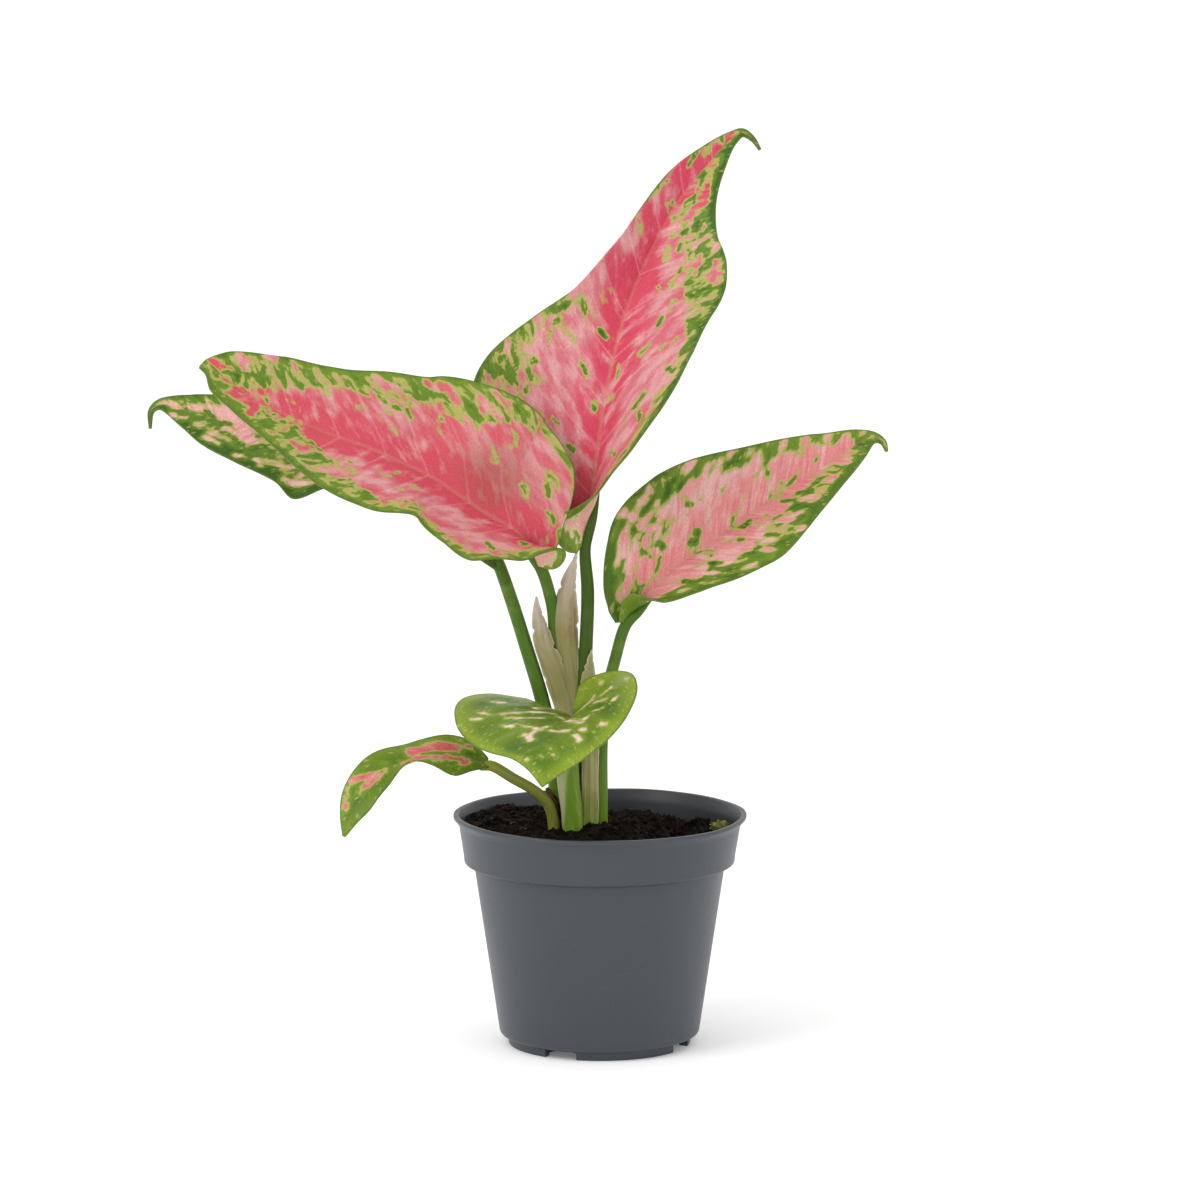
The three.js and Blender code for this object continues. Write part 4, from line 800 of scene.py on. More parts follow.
def stalk_finish(name, settings, foot, olive, dark, wing=0.0):
    """Smooth green stalk with fine grooves, paler up to the height foot. Olive and dark say how far it
    turns to those shades, and wing how pale the dry edge at the left of its foot is."""
    finish = Finish(
        name,
        roughness=0.38,
        Subsurface_Weight=0.05,
        Subsurface_Radius=(0.7, 1.0, 0.3),
        Subsurface_Scale=0.001,
        Specular_IOR_Level=0.15,
    )
    along, round_it, height = finish.parts(finish.attribute("weave"))
    threads = finish.clouds(finish.point(along * 0.12, round_it * 2.4, 3.0), detail=2.0)
    blotches = finish.clouds(finish.object_place(), scale=260.0, detail=2.0)
    specks = finish.clouds(finish.object_place(), scale=900.0, detail=1.0)
    upper = (height + (threads - 0.5) * 12.0).rise(foot, foot + 26.0)
    colour = finish.mix(upper, settings.pale_green, settings.green)
    colour = finish.mix(blotches.rise(0.5, 0.72) * 0.45, colour, tint(0x6E8A34))
    colour = finish.mix(olive, colour, tint(0x8A8A3C))
    colour = finish.mix(dark, colour, tint(0x33470F))
    low = 1.0 - height.rise(52.0, 62.0)
    colour = finish.mix(threads.rise(0.5, 0.72) * low * wing * 0.5, colour, tint(0xA4B95E))
    edge = (1.0 - (round_it - (height - 44.0) * 0.107 + (threads - 0.5) * 0.5).rise(-1.05, -0.65)) * low
    colour = finish.mix(edge * wing, colour, tint(0xC6C79C))
    colour = finish.mix(specks.rise(0.74, 0.8) * (0.25 + olive), colour, tint(0x4B3A1E))
    finish.set("Base Color", finish.shade(colour, (threads - 0.5) * 0.4 + 1.0))
    finish.relief(threads, 0.0002, 0.5)
    return finish.material


def sheath_finish(name, settings, brown, pale_from, seed):
    """Dry membrane with threads along it, olive below the height pale_from and green at its foot."""
    finish = Finish(name, roughness=0.55, Specular_IOR_Level=0.35)
    along, out, margin = finish.parts(finish.attribute("weave"))
    threads = finish.clouds(finish.point(along * 0.1, out * 2.6, seed), detail=3.0, roughness=0.6)
    stains = finish.clouds(finish.point(along * 0.14, out * 0.3, seed + 5.0), detail=2.0)
    specks = finish.clouds(finish.object_place(), scale=1100.0, detail=1.0)
    height = finish.parts(finish.object_place())[2] / MM
    ragged = height + (stains - 0.5) * 26.0 + (threads - 0.5) * 8.0
    # Below pale_from the membrane turns olive, lighter low down, and green at its foot: partly its own colour
    # and partly painted light that lifts the lower sheath where it lies in shade.
    base = 1.0 - ragged.rise(pale_from - 9.0, pale_from + 6.0)
    low = 1.0 - (height + (stains - 0.5) * 16.0).rise(58.0, 70.0)
    foot = 1.0 - (height + (threads - 0.5) * 14.0).rise(46.0, 55.0)
    colour = finish.mix(base * 0.95, settings.membrane, finish.mix(low, tint(0x837E49), tint(0xA9A268)))
    colour = finish.mix(stains.rise(0.5, 0.66) * 0.4, colour, tint(0x8F8A4C))
    dry = (stains * 0.7 + threads * 0.4).rise(0.55, 0.7) * (1.0 - low * 0.75)
    colour = finish.mix(dry * brown, colour, tint(0x7A5A30))
    colour = finish.mix(foot * 0.85, colour, tint(0x94A74A))
    colour = finish.mix((1.0 - margin.rise(0.0, 0.5)) * 0.4, colour, tint(0xCFC2B2))
    colour = finish.mix(specks.rise(0.75, 0.79) * 0.6 * brown, colour, tint(0x4A3420))
    finish.set("Base Color", finish.shade(colour, (threads - 0.5) * 0.35 + 1.0))
    finish.relief(threads, 0.00022, 0.7)
    return finish.material


def withered_finish():
    """Dark brown, shrunken tissue."""
    finish = Finish("withered foot", roughness=0.8, Specular_IOR_Level=0.2)
    folds = finish.clouds(finish.object_place(), scale=700.0, detail=3.0)
    colour = finish.mix(folds.rise(0.35, 0.7), tint(0x2E1C12), tint(0x7A5540))
    finish.set("Base Color", colour)
    finish.relief(folds, 0.0004)
    return finish.material


def plastic_finish(settings):
    """Thin moulded plastic, satin, with dust and a few scuffs, and painted shade inside, darkest just above
    the peat.
    """
    finish = Finish("grey pot plastic", Specular_IOR_Level=0.5)
    place = finish.object_place()
    x, y, z = finish.parts(place)
    cloud = finish.clouds(place, scale=42.0, detail=3.0)
    skin = finish.clouds(place, scale=1500.0, detail=2.0)
    scuffs = finish.clouds(finish.scaled(place, (160.0, 160.0, 900.0)), detail=2.0, roughness=0.7)
    colour = finish.shade(settings.plastic, (cloud - 0.5) * 0.16 + 1.0)
    colour = finish.mix(scuffs.rise(0.66, 0.8) * 0.12, colour, tint(0x80868C))
    specks = finish.clouds(place, scale=620.0, detail=1.0)
    colour = finish.mix(specks.rise(0.765, 0.79) * 0.55, colour, tint(0x2B211B))
    # Inside the pot, the surface lies within the wall's radius at its height. There the colour is darkened
    # towards blue-black as painted shade on the inner wall.
    wall = (z - 0.0393) * 0.18 + 0.0269
    inside = (1.0 - ((x * x + y * y).root() - wall).rise(0.0003, 0.0005)) * z.rise(0.0375, 0.039)
    colour = finish.mix(inside * 0.6, colour, tint(0x191E28))
    # Painted shade, brownish black, darkens the inner wall further just above the peat.
    shade_by_peat = inside * (1.0 - (z + (cloud - 0.5) * 0.012).rise(0.0425, 0.0465))
    colour = finish.mix(shade_by_peat * 0.6, colour, tint(0x221C1A))
    finish.set("Base Color", colour)
    finish.set("Roughness", 0.42 + (cloud - 0.5) * 0.2 + scuffs.rise(0.6, 0.8) * 0.15)
    finish.relief(skin * 0.6 + cloud, 0.00012, 0.35)
    return finish.material


def peat_finish(name, settings, moss=0.0):
    """Dark damp peat with warmer fibres."""
    finish = Finish(name, roughness=0.9, Specular_IOR_Level=0.12)
    place = finish.object_place()
    lumps = finish.clouds(place, scale=330.0, detail=3.0, roughness=0.65)
    fine = finish.clouds(place, scale=1300.0, detail=2.0)
    colour = finish.mix(lumps.rise(0.45, 0.72), settings.dark, settings.warm)
    colour = finish.mix(fine.rise(0.7, 0.76) * 0.6, colour, tint(0x8A7355))
    colour = finish.mix(moss, colour, tint(0x8F9450))
    finish.set("Base Color", finish.shade(colour, (fine - 0.5) * 0.9 + 1.0))
    finish.set("Roughness", 0.75 + lumps * 0.25)
    finish.relief(fine + lumps, 0.0005)
    return finish.material


def floor_finish(settings):
    """Plain pale floor."""
    finish = Finish("pale floor", roughness=0.85, Specular_IOR_Level=0.1, Emission_Strength=settings.glow)
    finish.set("Base Color", settings.floor)
    finish.set("Emission Color", (1.0, 1.0, 1.0))
    return finish.material


# ------------------------------------------------------------------ lines and surfaces


def between(stations, places, column=1):
    """Smooth values between stations, each [place, value, ...]; column picks the value."""
    x = np.array([row[0] for row in stations], float)
    y = np.array([row[column] for row in stations], float)
    before = np.maximum(np.arange(len(x)) - 1, 0)
    after = np.minimum(np.arange(len(x)) + 1, len(x) - 1)
    slope = (y[after] - y[before]) / (x[after] - x[before])
    p = np.clip(places, x[0], x[-1])
    i = np.clip(np.searchsorted(x, p, side="right") - 1, 0, len(x) - 2)
    span = x[i + 1] - x[i]
    s = (p - x[i]) / span
    ease = s * s * (3 - 2 * s)
    flat = y[i] * (1 - ease) + y[i + 1] * ease
    return flat + span * s * (1 - s) * ((1 - s) * slope[i] - s * slope[i + 1])


class Line:
    """A smooth line through points in millimetres, read by the share of its length."""

    STEPS = 160

    def __init__(self, points):
        marks = [np.array(p[:3], float) for p in points]
        samples = []
        for i in range(len(marks) - 1):
            p1, p2 = marks[i], marks[i + 1]
            p0 = marks[i - 1] if i else 2 * p1 - p2
            p3 = marks[i + 2] if i + 2 < len(marks) else 2 * p2 - p1
            d0, d1, d2 = [np.sqrt(np.linalg.norm(b - a)) for a, b in ((p0, p1), (p1, p2), (p2, p3))]
            t1 = ((p1 - p0) / d0 - (p2 - p0) / (d0 + d1) + (p2 - p1) / d1) * d1
            t2 = ((p2 - p1) / d1 - (p3 - p1) / (d1 + d2) + (p3 - p2) / d2) * d1
            w = np.linspace(0, 1, self.STEPS, endpoint=False)[:, None]
            square = (-3 * p1 + 3 * p2 - 2 * t1 - t2) * w**2
            samples.append(p1 + t1 * w + square + (2 * p1 - 2 * p2 + t1 + t2) * w**3)
        samples.append(marks[-1][None, :])
        self.samples = np.concatenate(samples)
        steps = np.linalg.norm(np.diff(self.samples, axis=0), axis=1)
        reach = np.concatenate([[0], np.cumsum(steps)])
        self.length = reach[-1]
        self.shares = reach / reach[-1]
        self.mark_shares = self.shares[:: self.STEPS]

    def at(self, places):
        return np.stack([np.interp(places, self.shares, self.samples[:, k]) for k in range(3)], axis=-1)

    def along(self, places):
        ahead = self.at(np.clip(places + 0.004, 0, 1)) - self.at(np.clip(places - 0.004, 0, 1))
        return unit(ahead)


def unit(vectors):
    return vectors / np.maximum(np.linalg.norm(vectors, axis=-1, keepdims=True), 1e-12)


def gathered(count, crowding):
    """Places from 0 to 1 that stand closer together at both ends."""
    even = np.linspace(0, 1, count)
    return even - crowding * np.sin(2 * np.pi * even) / (2 * np.pi)


def bell(distance, width):
    return np.exp(-((distance / width) ** 2))


def surface_normals(points):
    ahead = np.gradient(points, axis=0)
    over = np.gradient(points, axis=1)
    return unit(np.cross(over, ahead))


class Sheet:
    """The middle surface of a blade or a sheath, as a grid of points in millimetres."""

    def __init__(self, shape, rows, columns, crease):
        self.line = Line(shape["midrib"])
        self.places = gathered(rows, 0.6)
        self.acrosses = gathered(columns, 0.35) * 2 - 1
        along = self.line.along(self.places)
        ways = [[station, *way] for station, way in shape["facing"]]
        face = np.stack([between(ways, self.places, k) for k in (1, 2, 3)], axis=-1)
        face = unit(face - along * np.sum(face * along, axis=-1, keepdims=True))
        side = np.cross(along, face)
        across = self.acrosses[None, :]
        reach = np.abs(across)
        halves = [
            [between(shape[half], self.places, k)[:, None] for k in (1, 2, 3)] for half in ("left", "right")
        ]
        left = across < 0
        width, lift, sweep = [np.where(left, halves[0][k], halves[1][k]) for k in range(3)]
        lift = np.radians(lift)
        soft = (np.sqrt(reach**2 + crease**2) - crease) / (math.sqrt(1 + crease**2) - crease)
        wave = shape["wave"]
        place = self.places[:, None]
        ripple = np.sin(2 * np.pi * wave["count"] * place + wave["phase"] + np.where(left, 0, 1.7))
        swell = wave["height"] * ripple * np.sin(np.pi * place) * reach**2
        self.points = (
            self.line.at(self.places)[:, None, :]
            + side[:, None, :] * (width * across * np.cos(lift))[..., None]
            + face[:, None, :] * (width * soft * np.sin(lift) + swell)[..., None]
            + along[:, None, :] * (sweep * reach**2)[..., None]
        )
        self.out = width * across
        self.length_along = np.broadcast_to(place * self.line.length, self.out.shape)
        self.width = width
        self.reach = np.broadcast_to(reach, self.out.shape)
        self.place = np.broadcast_to(place, self.out.shape)
        # A side vein leaves the midrib slantwise and bends on towards the tip
        self.vein = self.length_along - 0.85 * np.abs(self.out) - 0.006 * self.out**2

    def margin(self, stalk=2.5):
        """Distance to the nearest margin, in millimetres."""
        ends = np.minimum(self.length_along, self.line.length - self.length_along)
        foot = ends + np.clip(stalk - np.abs(self.out), 0, None) * 2
        return np.minimum(self.width * (1 - self.reach), foot)


def closed_body(name, upper, lower, attributes):
    """A thin closed mesh from an upper and a lower grid, with vectors kept at its points."""
    rows, columns = upper.shape[:2]
    count = rows * columns
    grid = np.arange(count).reshape(rows, columns)
    a, b, c, d = grid[:-1, :-1], grid[:-1, 1:], grid[1:, 1:], grid[1:, :-1]
    top = np.stack([a, b, c, d], axis=-1).reshape(-1, 4)
    bottom = np.stack([a, d, c, b], axis=-1).reshape(-1, 4) + count
    rim = np.concatenate([grid[0, :-1], grid[:-1, -1], grid[-1, :0:-1], grid[:0:-1, 0]])
    after = np.roll(rim, -1)
    wall = np.stack([rim, rim + count, after + count, after], axis=-1)
    faces = np.concatenate([top, bottom, wall]).tolist()
    points = np.concatenate([upper.reshape(-1, 3), lower.reshape(-1, 3)]) * MM
    body = new_piece(name, points.tolist(), faces)
    for label, values in attributes.items():
        flat = np.concatenate([v.reshape(-1, 3) for v in values]).astype(np.float32)
        body.data.attributes.new(label, "FLOAT_VECTOR", "POINT").data.foreach_set("vector", flat.ravel())
    return body


def new_piece(name, points, faces):
    """A smooth-shaded object at the origin, with its place in its mesh."""
    mesh = bpy.data.meshes.new(name)
    mesh.from_pydata(points, [], faces)
    mesh.validate()
    mesh.shade_smooth()
    piece = bpy.data.objects.new(name, mesh)
    bpy.context.scene.collection.objects.link(piece)
    return piece


def settle(piece, nodes, finish):
    """Gives a piece its finish and the body it rides on, and hides the solids it stands for."""
    piece.data.materials.clear()
    piece.data.materials.append(finish)
    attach(piece, WHOLE_PLANT)
    if nodes:
        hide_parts(*nodes)


def applied(piece):
    """Turns a piece's modifiers into plain mesh."""
    graph = bpy.context.evaluated_depsgraph_get()
    mesh = bpy.data.meshes.new_from_object(piece.evaluated_get(graph))
    piece.modifiers.clear()
    old = piece.data
    piece.data = mesh
    mesh.name = piece.name
    bpy.data.meshes.remove(old)


# ------------------------------------------------------------------ blades and sheaths


def blade(name, shape, look, spots, settings):
    """One leaf blade: veined, cupped at its midrib, with the midrib's ridge under it."""
    sheet = Sheet(shape, rows=210, columns=91, crease=0.05)
    normals = surface_normals(sheet.points)
    phase = np.pi * (sheet.vein + 0.8 * np.sin(sheet.vein * 0.5)) / look["veins"]
    room = np.sin(np.pi * np.clip(sheet.reach * 1.05, 0, 1)) * np.clip(sheet.width / 6, 0, 1)
    relief = settings.pucker / MM * room * (np.abs(np.sin(phase)) * 1.6 - 1)
    taper = 1 - sheet.place
    groove = 0.3 * bell(sheet.out, 0.8) * taper
    half = 0.5 * settings.thickness / MM * (1 - 0.45 * sheet.reach**6)
    radius = shape["stalk"][-1][3] * (0.18 + 0.82 * taper**1.4)
    ridge = 1.15 * radius * np.sqrt(np.clip(1 - (sheet.out / radius) ** 2, 0, 1))
    ridge *= np.clip((sheet.place - 0.04) / 0.08, 0, 1)
    upper = sheet.points + normals * (half + relief - groove)[..., None]
    lower = sheet.points - normals * (half - relief + ridge)[..., None]
    margin = sheet.margin()
    green = green_depth(sheet, look, spots, margin)
    weave = np.stack([sheet.vein, sheet.out, margin], axis=-1)
    above = np.stack([green, np.zeros_like(green), sheet.place], axis=-1)
    below = np.stack([green, np.ones_like(green), sheet.place], axis=-1)
    return closed_body(name, upper, lower, {"weave": [weave, weave], "cast": [above, below]})


def green_depth(sheet, look, spots, margin):
    """How many millimetres inside the green each point lies, from below zero in the pink."""
    mosaic, hem = [
        np.where(
            sheet.out < 0,
            np.interp(sheet.places, *np.array(look[part]["left"], float).T)[:, None],
            np.interp(sheet.places, *np.array(look[part]["right"], float).T)[:, None],
        )
        for part in ("mosaic", "hem")
    ]
    depth = np.clip((mosaic - margin) * 0.8, -1.8, -0.15)
    for marks, fall, most in ((spots["haloes"], 1.2, -0.65), (spots["islands"], 1.7, 2.0)):
        for mark in marks:
            inside = 0.5 * mark[4] - 0.1 - fall * from_streak(sheet, mark)
            depth = np.maximum(depth, np.minimum(inside, most))
    depth = np.maximum(depth, np.clip(hem - margin, -1.7, 2))
    for mark in spots["clearings"]:
        depth = np.minimum(depth, 1.5 * from_streak(sheet, mark) - 0.6 * mark[4] - 0.45)
    return depth


def from_streak(sheet, mark):
    """Distance in millimetres from a straight streak on the blade laid flat."""
    start, end = np.array(mark[:2]), np.array(mark[2:4])
    way = end - start
    spans = np.stack([sheet.length_along - start[0], sheet.out - start[1]])
    share = np.clip(np.tensordot(way, spans, 1) / max(way @ way, 1e-6), 0, 1)
    return np.hypot(spans[0] - share * way[0], spans[1] - share * way[1])


def torn(shape, seed):
    """The same sheath with small tears along both edges of its upper half."""
    chance = np.random.default_rng(seed)
    steps = 61
    places = np.linspace(0, 1, steps)
    halves = {}
    for half in ("left", "right"):
        tears = np.where(chance.random(steps) < 0.3, chance.random(steps) * 0.32, 0)
        tears = tears * np.clip(places * 3 - 1.2, 0, 1)
        values = [between(shape[half], places, k) for k in (1, 2, 3)]
        values[0] = values[0] * (1 - tears)
        halves[half] = np.column_stack([places, *values]).tolist()
    return dict(shape, **halves)


def sheath(name, shape, settings, seed):
    """One papery sheath, wrapped round what it holds, with a torn upper edge."""
    sheet = Sheet(torn(shape, int(seed)), rows=150, columns=31, crease=0.6)
    normals = surface_normals(sheet.points)
    threads = np.sin(sheet.out * 5.0 + seed) * 0.05 + np.sin(sheet.out * 11.0 + seed * 2) * 0.025
    buckle = 0.18 * np.sin(sheet.length_along * 0.55 + sheet.out * 0.8 + seed) * sheet.reach**2
    half = 0.5 * settings.sheath_thickness / MM
    upper = sheet.points + normals * (half + threads + buckle)[..., None]
    lower = sheet.points - normals * (half - threads - buckle)[..., None]
    weave = np.stack([sheet.length_along, sheet.out, sheet.margin(0)], axis=-1)
    return closed_body(name, upper, lower, {"weave": [weave, weave]})


# ------------------------------------------------------------------ stalks


def into_blade(shape, aside=0.0):
    """A stalk's points, with its end carried on under the blade's midrib and drawn out thin.

    Where the blade's base is folded over, the end first lies in front, at the side of the fold."""
    line = Line(shape["midrib"])
    places = np.array([0.02, 0.05, 0.09, 0.15])
    ways = [[station, *way] for station, way in shape["facing"]]
    along = line.along(places)
    face = np.stack([between(ways, places, k) for k in (1, 2, 3)], axis=-1)
    face = unit(face - along * np.sum(face * along, axis=-1, keepdims=True))
    side = np.cross(along, face)
    radii = shape["stalk"][-1][3] * np.array([0.9, 0.75, 0.5, 0.3])
    depth = -(radii + 0.25)
    if aside:
        depth = np.array([0.15, 0.1, -0.45, -0.55])
    sideways = aside * np.array([0.5, 1.0, 1.0, 0.6])
    ends = line.at(places) + face * depth[:, None] + side * sideways[:, None]
    return shape["stalk"] + [[*end, radius] for end, radius in zip(ends, radii)]


def stalk(name, points, sides=28, step=0.8, swelling=0.0, groove=0.0, wrinkle=0.0):
    """A closed round stem through points that carry the radius there. Its two ends are rounded."""
    line = Line(points)
    rings = max(12, int(line.length / step))
    places = np.linspace(0, 1, rings)
    radii = np.interp(places, line.mark_shares, [p[3] for p in points])
    radii = radii * (1 + swelling * bell(places - 1, 0.07))
    along = line.along(places)
    start = unit(np.cross(along[0], (0.0, -1.0, 0.2)))
    right = [start]
    for way in along[1:]:
        carried = right[-1] - way * np.dot(right[-1], way)
        right.append(carried / np.linalg.norm(carried))
    right = np.array(right)
    front = np.cross(along, right)
    turn = np.linspace(0, 2 * np.pi, sides, endpoint=False)[None, :]
    shape = 1 - groove * bell(np.angle(np.exp(1j * (turn - np.pi / 2))), 0.5)
    folds = 1 + wrinkle * np.sin(3 * turn + 9 * places[:, None]) * np.sin(40 * places[:, None] + turn)
    size = radii[:, None] * shape * folds
    ring = (
        line.at(places)[:, None, :]
        + right[:, None, :] * (size * np.cos(turn))[..., None]
        + front[:, None, :] * (size * np.sin(turn))[..., None]
    )
    middles = ring.reshape(-1, 3)
    first = line.at(np.array([0.0])) - along[0] * radii[0] * 0.3
    last = line.at(np.array([1.0])) + along[-1] * radii[-1] * 0.3
    vertices = np.concatenate([middles, first, last])
    grid = np.arange(rings * sides).reshape(rings, sides)
    a, b = grid[:-1], grid[1:]
    walls = np.stack([a, np.roll(a, -1, 1), np.roll(b, -1, 1), b], axis=-1).reshape(-1, 4).tolist()
    foot, head = len(middles), len(middles) + 1
    for k in range(sides):
        after = (k + 1) % sides
        walls.append([foot, int(grid[0, after]), int(grid[0, k])])
        walls.append([head, int(grid[-1, k]), int(grid[-1, after])])
    piece = new_piece(name, (vertices * MM).tolist(), walls)
    along_mm = np.repeat(places * line.length, sides)
    round_it = np.tile(np.cos(turn[0]), rings) + np.repeat(places, sides)
    weave = np.stack([along_mm, round_it, middles[:, 2]], -1)
    ends = np.array([[0, 0, first[0, 2]], [line.length, 0, last[0, 2]]])
    values = np.concatenate([weave, ends]).astype(np.float32)
    piece.data.attributes.new("weave", "FLOAT_VECTOR", "POINT").data.foreach_set("vector", values.ravel())
    return piece


# ------------------------------------------------------------------ pot and peat

# Bends of the pot sharper than this many degrees show as edges.
CRISPEST_BEND = 42


def softened(corners, steps=5):
    """A profile with rounded corners. Each corner is [radius, height, rounding]."""
    profile = []
    for k, (x, z, rounding) in enumerate(corners):
        if not rounding:
            profile.append((x, z))
            continue
        here = np.array([x, z], float)
        before = np.array(corners[k - 1][:2], float)
        after = np.array(corners[k + 1][:2], float)
        start = here + unit(before - here) * rounding
        end = here + unit(after - here) * rounding
        for s in np.linspace(0, 1, steps):
            profile.append(tuple((1 - s) ** 2 * start + 2 * s * (1 - s) * here + s**2 * end))
    return profile


def turned(name, profile, segments):
    """A closed body turned round the z axis from a profile that starts and ends on it."""
    points, rings = [], []
    for radius, z in profile:
        if radius < 1e-6:
            rings.append([len(points)] * segments)
            points.append((0.0, 0.0, z * MM))
            continue
        rings.append(list(range(len(points), len(points) + segments)))
        for k in range(segments):
            angle = 2 * math.pi * k / segments
            points.append((radius * MM * math.cos(angle), radius * MM * math.sin(angle), z * MM))
    faces = []
    for low, high in zip(rings, rings[1:]):
        for k in range(segments):
            after = (k + 1) % segments
            corners = [low[k], low[after], high[after], high[k]]
            faces.append(list(dict.fromkeys(corners)))
    return new_piece(name, points, faces)


def pot_profile():
    """Half of the pot's section, from the middle of its underside round to the middle inside."""
    lip, collar, step, foot = POT["lip"], POT["collar"], POT["step"], POT["foot"]
    ring, channel, disc, wall = POT["ring"], POT["channel"], POT["disc"], POT["wall"]
    top = POT["height"]
    return softened([
        [0, 0, 0],
        [disc["radius"], 0, 0.2],
        [disc["radius"] + disc["slope"], channel["underside"], 0.3],
        [ring["inner"] - disc["slope"], channel["underside"], 0.3],
        [ring["inner"], 0, 0.2],
        [ring["outer"], 0, 0.25],
        [ring["outer"], ring["height"], 0.15],
        [foot["radius"] - foot["chamfer"], ring["height"] + foot["rise"], 0.12],
        [foot["radius"], foot["z"], 0.25],
        [step["radius"] + 0.05, step["z"] + 0.45, 0.1],
        [collar["radius"] - 0.15, collar["z"] - collar["drop"], 0.4],
        [collar["radius"], collar["z"] + 0.4, 0.5],
        [lip["under"], lip["z"], 0.8],
        [lip["outer"], top - lip["edge"], 0.25],
        [lip["outer"], top, 0.3],
        [lip["inner"], top, 0.35],
        [lip["under"] - wall, lip["z"] - 0.3, 0.8],
        [collar["radius"] - wall, collar["z"] + 0.4, 0.7],
        [collar["radius"] - 0.75 - wall, collar["z"] - 0.6, 0.45],
        [step["radius"] - wall, step["z"] + 0.6, 0.45],
        [foot["radius"] - wall, channel["top"] + 0.8, 0.4],
        [foot["radius"] - wall - 0.8, channel["top"], 0.4],
        [disc["radius"] + disc["slope"], channel["top"], 0.3],
        [disc["radius"], disc["top"], 0.3],
        [0, disc["top"], 0],
    ])


def cut(piece, cutters):
    """Cuts shapes out of a piece and removes them."""
    for cutter in cutters:
        knife = piece.modifiers.new("cut", "BOOLEAN")
        knife.operation = "DIFFERENCE"
        knife.solver = "EXACT"
        knife.object = cutter
    applied(piece)
    for cutter in cutters:
        shape = cutter.data
        bpy.data.objects.remove(cutter)
        bpy.data.meshes.remove(shape)


def cutter(make, place, angle):
    """A cutting shape made at the front of the pot and turned round its axis, in millimetres."""
    shape = bmesh.new()
    made = make(shape)
    bmesh.ops.translate(shape, verts=made["verts"], vec=Vector(place))
    bmesh.ops.transform(shape, matrix=Matrix.Scale(MM, 4), verts=made["verts"])
    bmesh.ops.transform(shape, matrix=Matrix.Rotation(math.radians(angle), 4, "Z"), verts=made["verts"])
    mesh = bpy.data.meshes.new("cutter")
    shape.to_mesh(mesh)
    shape.free()
    piece = bpy.data.objects.new("cutter", mesh)
    bpy.context.scene.collection.objects.link(piece)
    return piece


def nursery_pot(settings):
    """The pot with its foot notches and drain holes, and a thin lip that wavers a little."""

    def notch(shape):
        size = Matrix.Diagonal((NOTCH["width"], NOTCH["depth"], 2 * NOTCH["height"], 1))
        return bmesh.ops.create_cube(shape, size=1, matrix=size)

    def drain(shape):
        radius, depth = DRAIN["radius"], 3 * POT["channel"]["top"]
        return bmesh.ops.create_cone(
            shape, cap_ends=True, segments=32, radius1=radius, radius2=radius, depth=depth
        )

    pot = turned("nursery_pot", pot_profile(), settings.segments)
    cutters = []
    for sizes, make, place in (
        (NOTCH, notch, (0, -POT["ring"]["outer"], 0)),
        (DRAIN, drain, (DRAIN["circle"], 0, POT["channel"]["top"])),
    ):
        for k in range(sizes["count"]):
            cutters.append(cutter(make, place, sizes["first"] + 360 * k / sizes["count"]))
    cut(pot, cutters)
    reach = settings.waver
    base = POT["collar"]["z"] * MM
    span = POT["height"] * MM - base
    for vertex in pot.data.vertices:
        x, y, z = vertex.co
        share = max(0.0, (z - base) / span) ** 2
        angle = math.atan2(y, x)
        lift = math.sin(2 * angle + 0.7) * 0.6 + math.sin(5 * angle + 2.1) * 0.3 + math.sin(11 * angle) * 0.12
        out = math.sin(3 * angle + 1.2) * 0.5 + math.sin(7 * angle) * 0.25
        vertex.co.z += share * reach * (lift - 0.9)
        vertex.co.x += share * reach * (out - 0.7) * math.cos(angle)
        vertex.co.y += share * reach * (out - 0.7) * math.sin(angle)
    pot.data.shade_smooth()
    pot.data.set_sharp_from_angle(angle=math.radians(CRISPEST_BEND))
    return pot


def peat_height(x, y):
    """Height of the peat in millimetres, heaped before the plant and lower on its right."""
    heap = SOIL["heap"]
    z = SOIL["level"] - SOIL["fall"] * x
    z += heap["height"] * math.exp(-((x - heap["x"]) ** 2 + (y - heap["y"]) ** 2) / heap["spread"] ** 2)
    for hx, hy, height, spread in PEAT_LUMPS:
        z += height * math.exp(-((x - hx) ** 2 + (y - hy) ** 2) / spread**2)
    z += 1.3 * noise.fractal(Vector((x * 0.16, y * 0.16, 1.0)), 1.0, 2.0, 3)
    z += 0.6 * noise.fractal(Vector((x * 0.6, y * 0.6, 5.0)), 0.8, 2.0, 3)
    return z


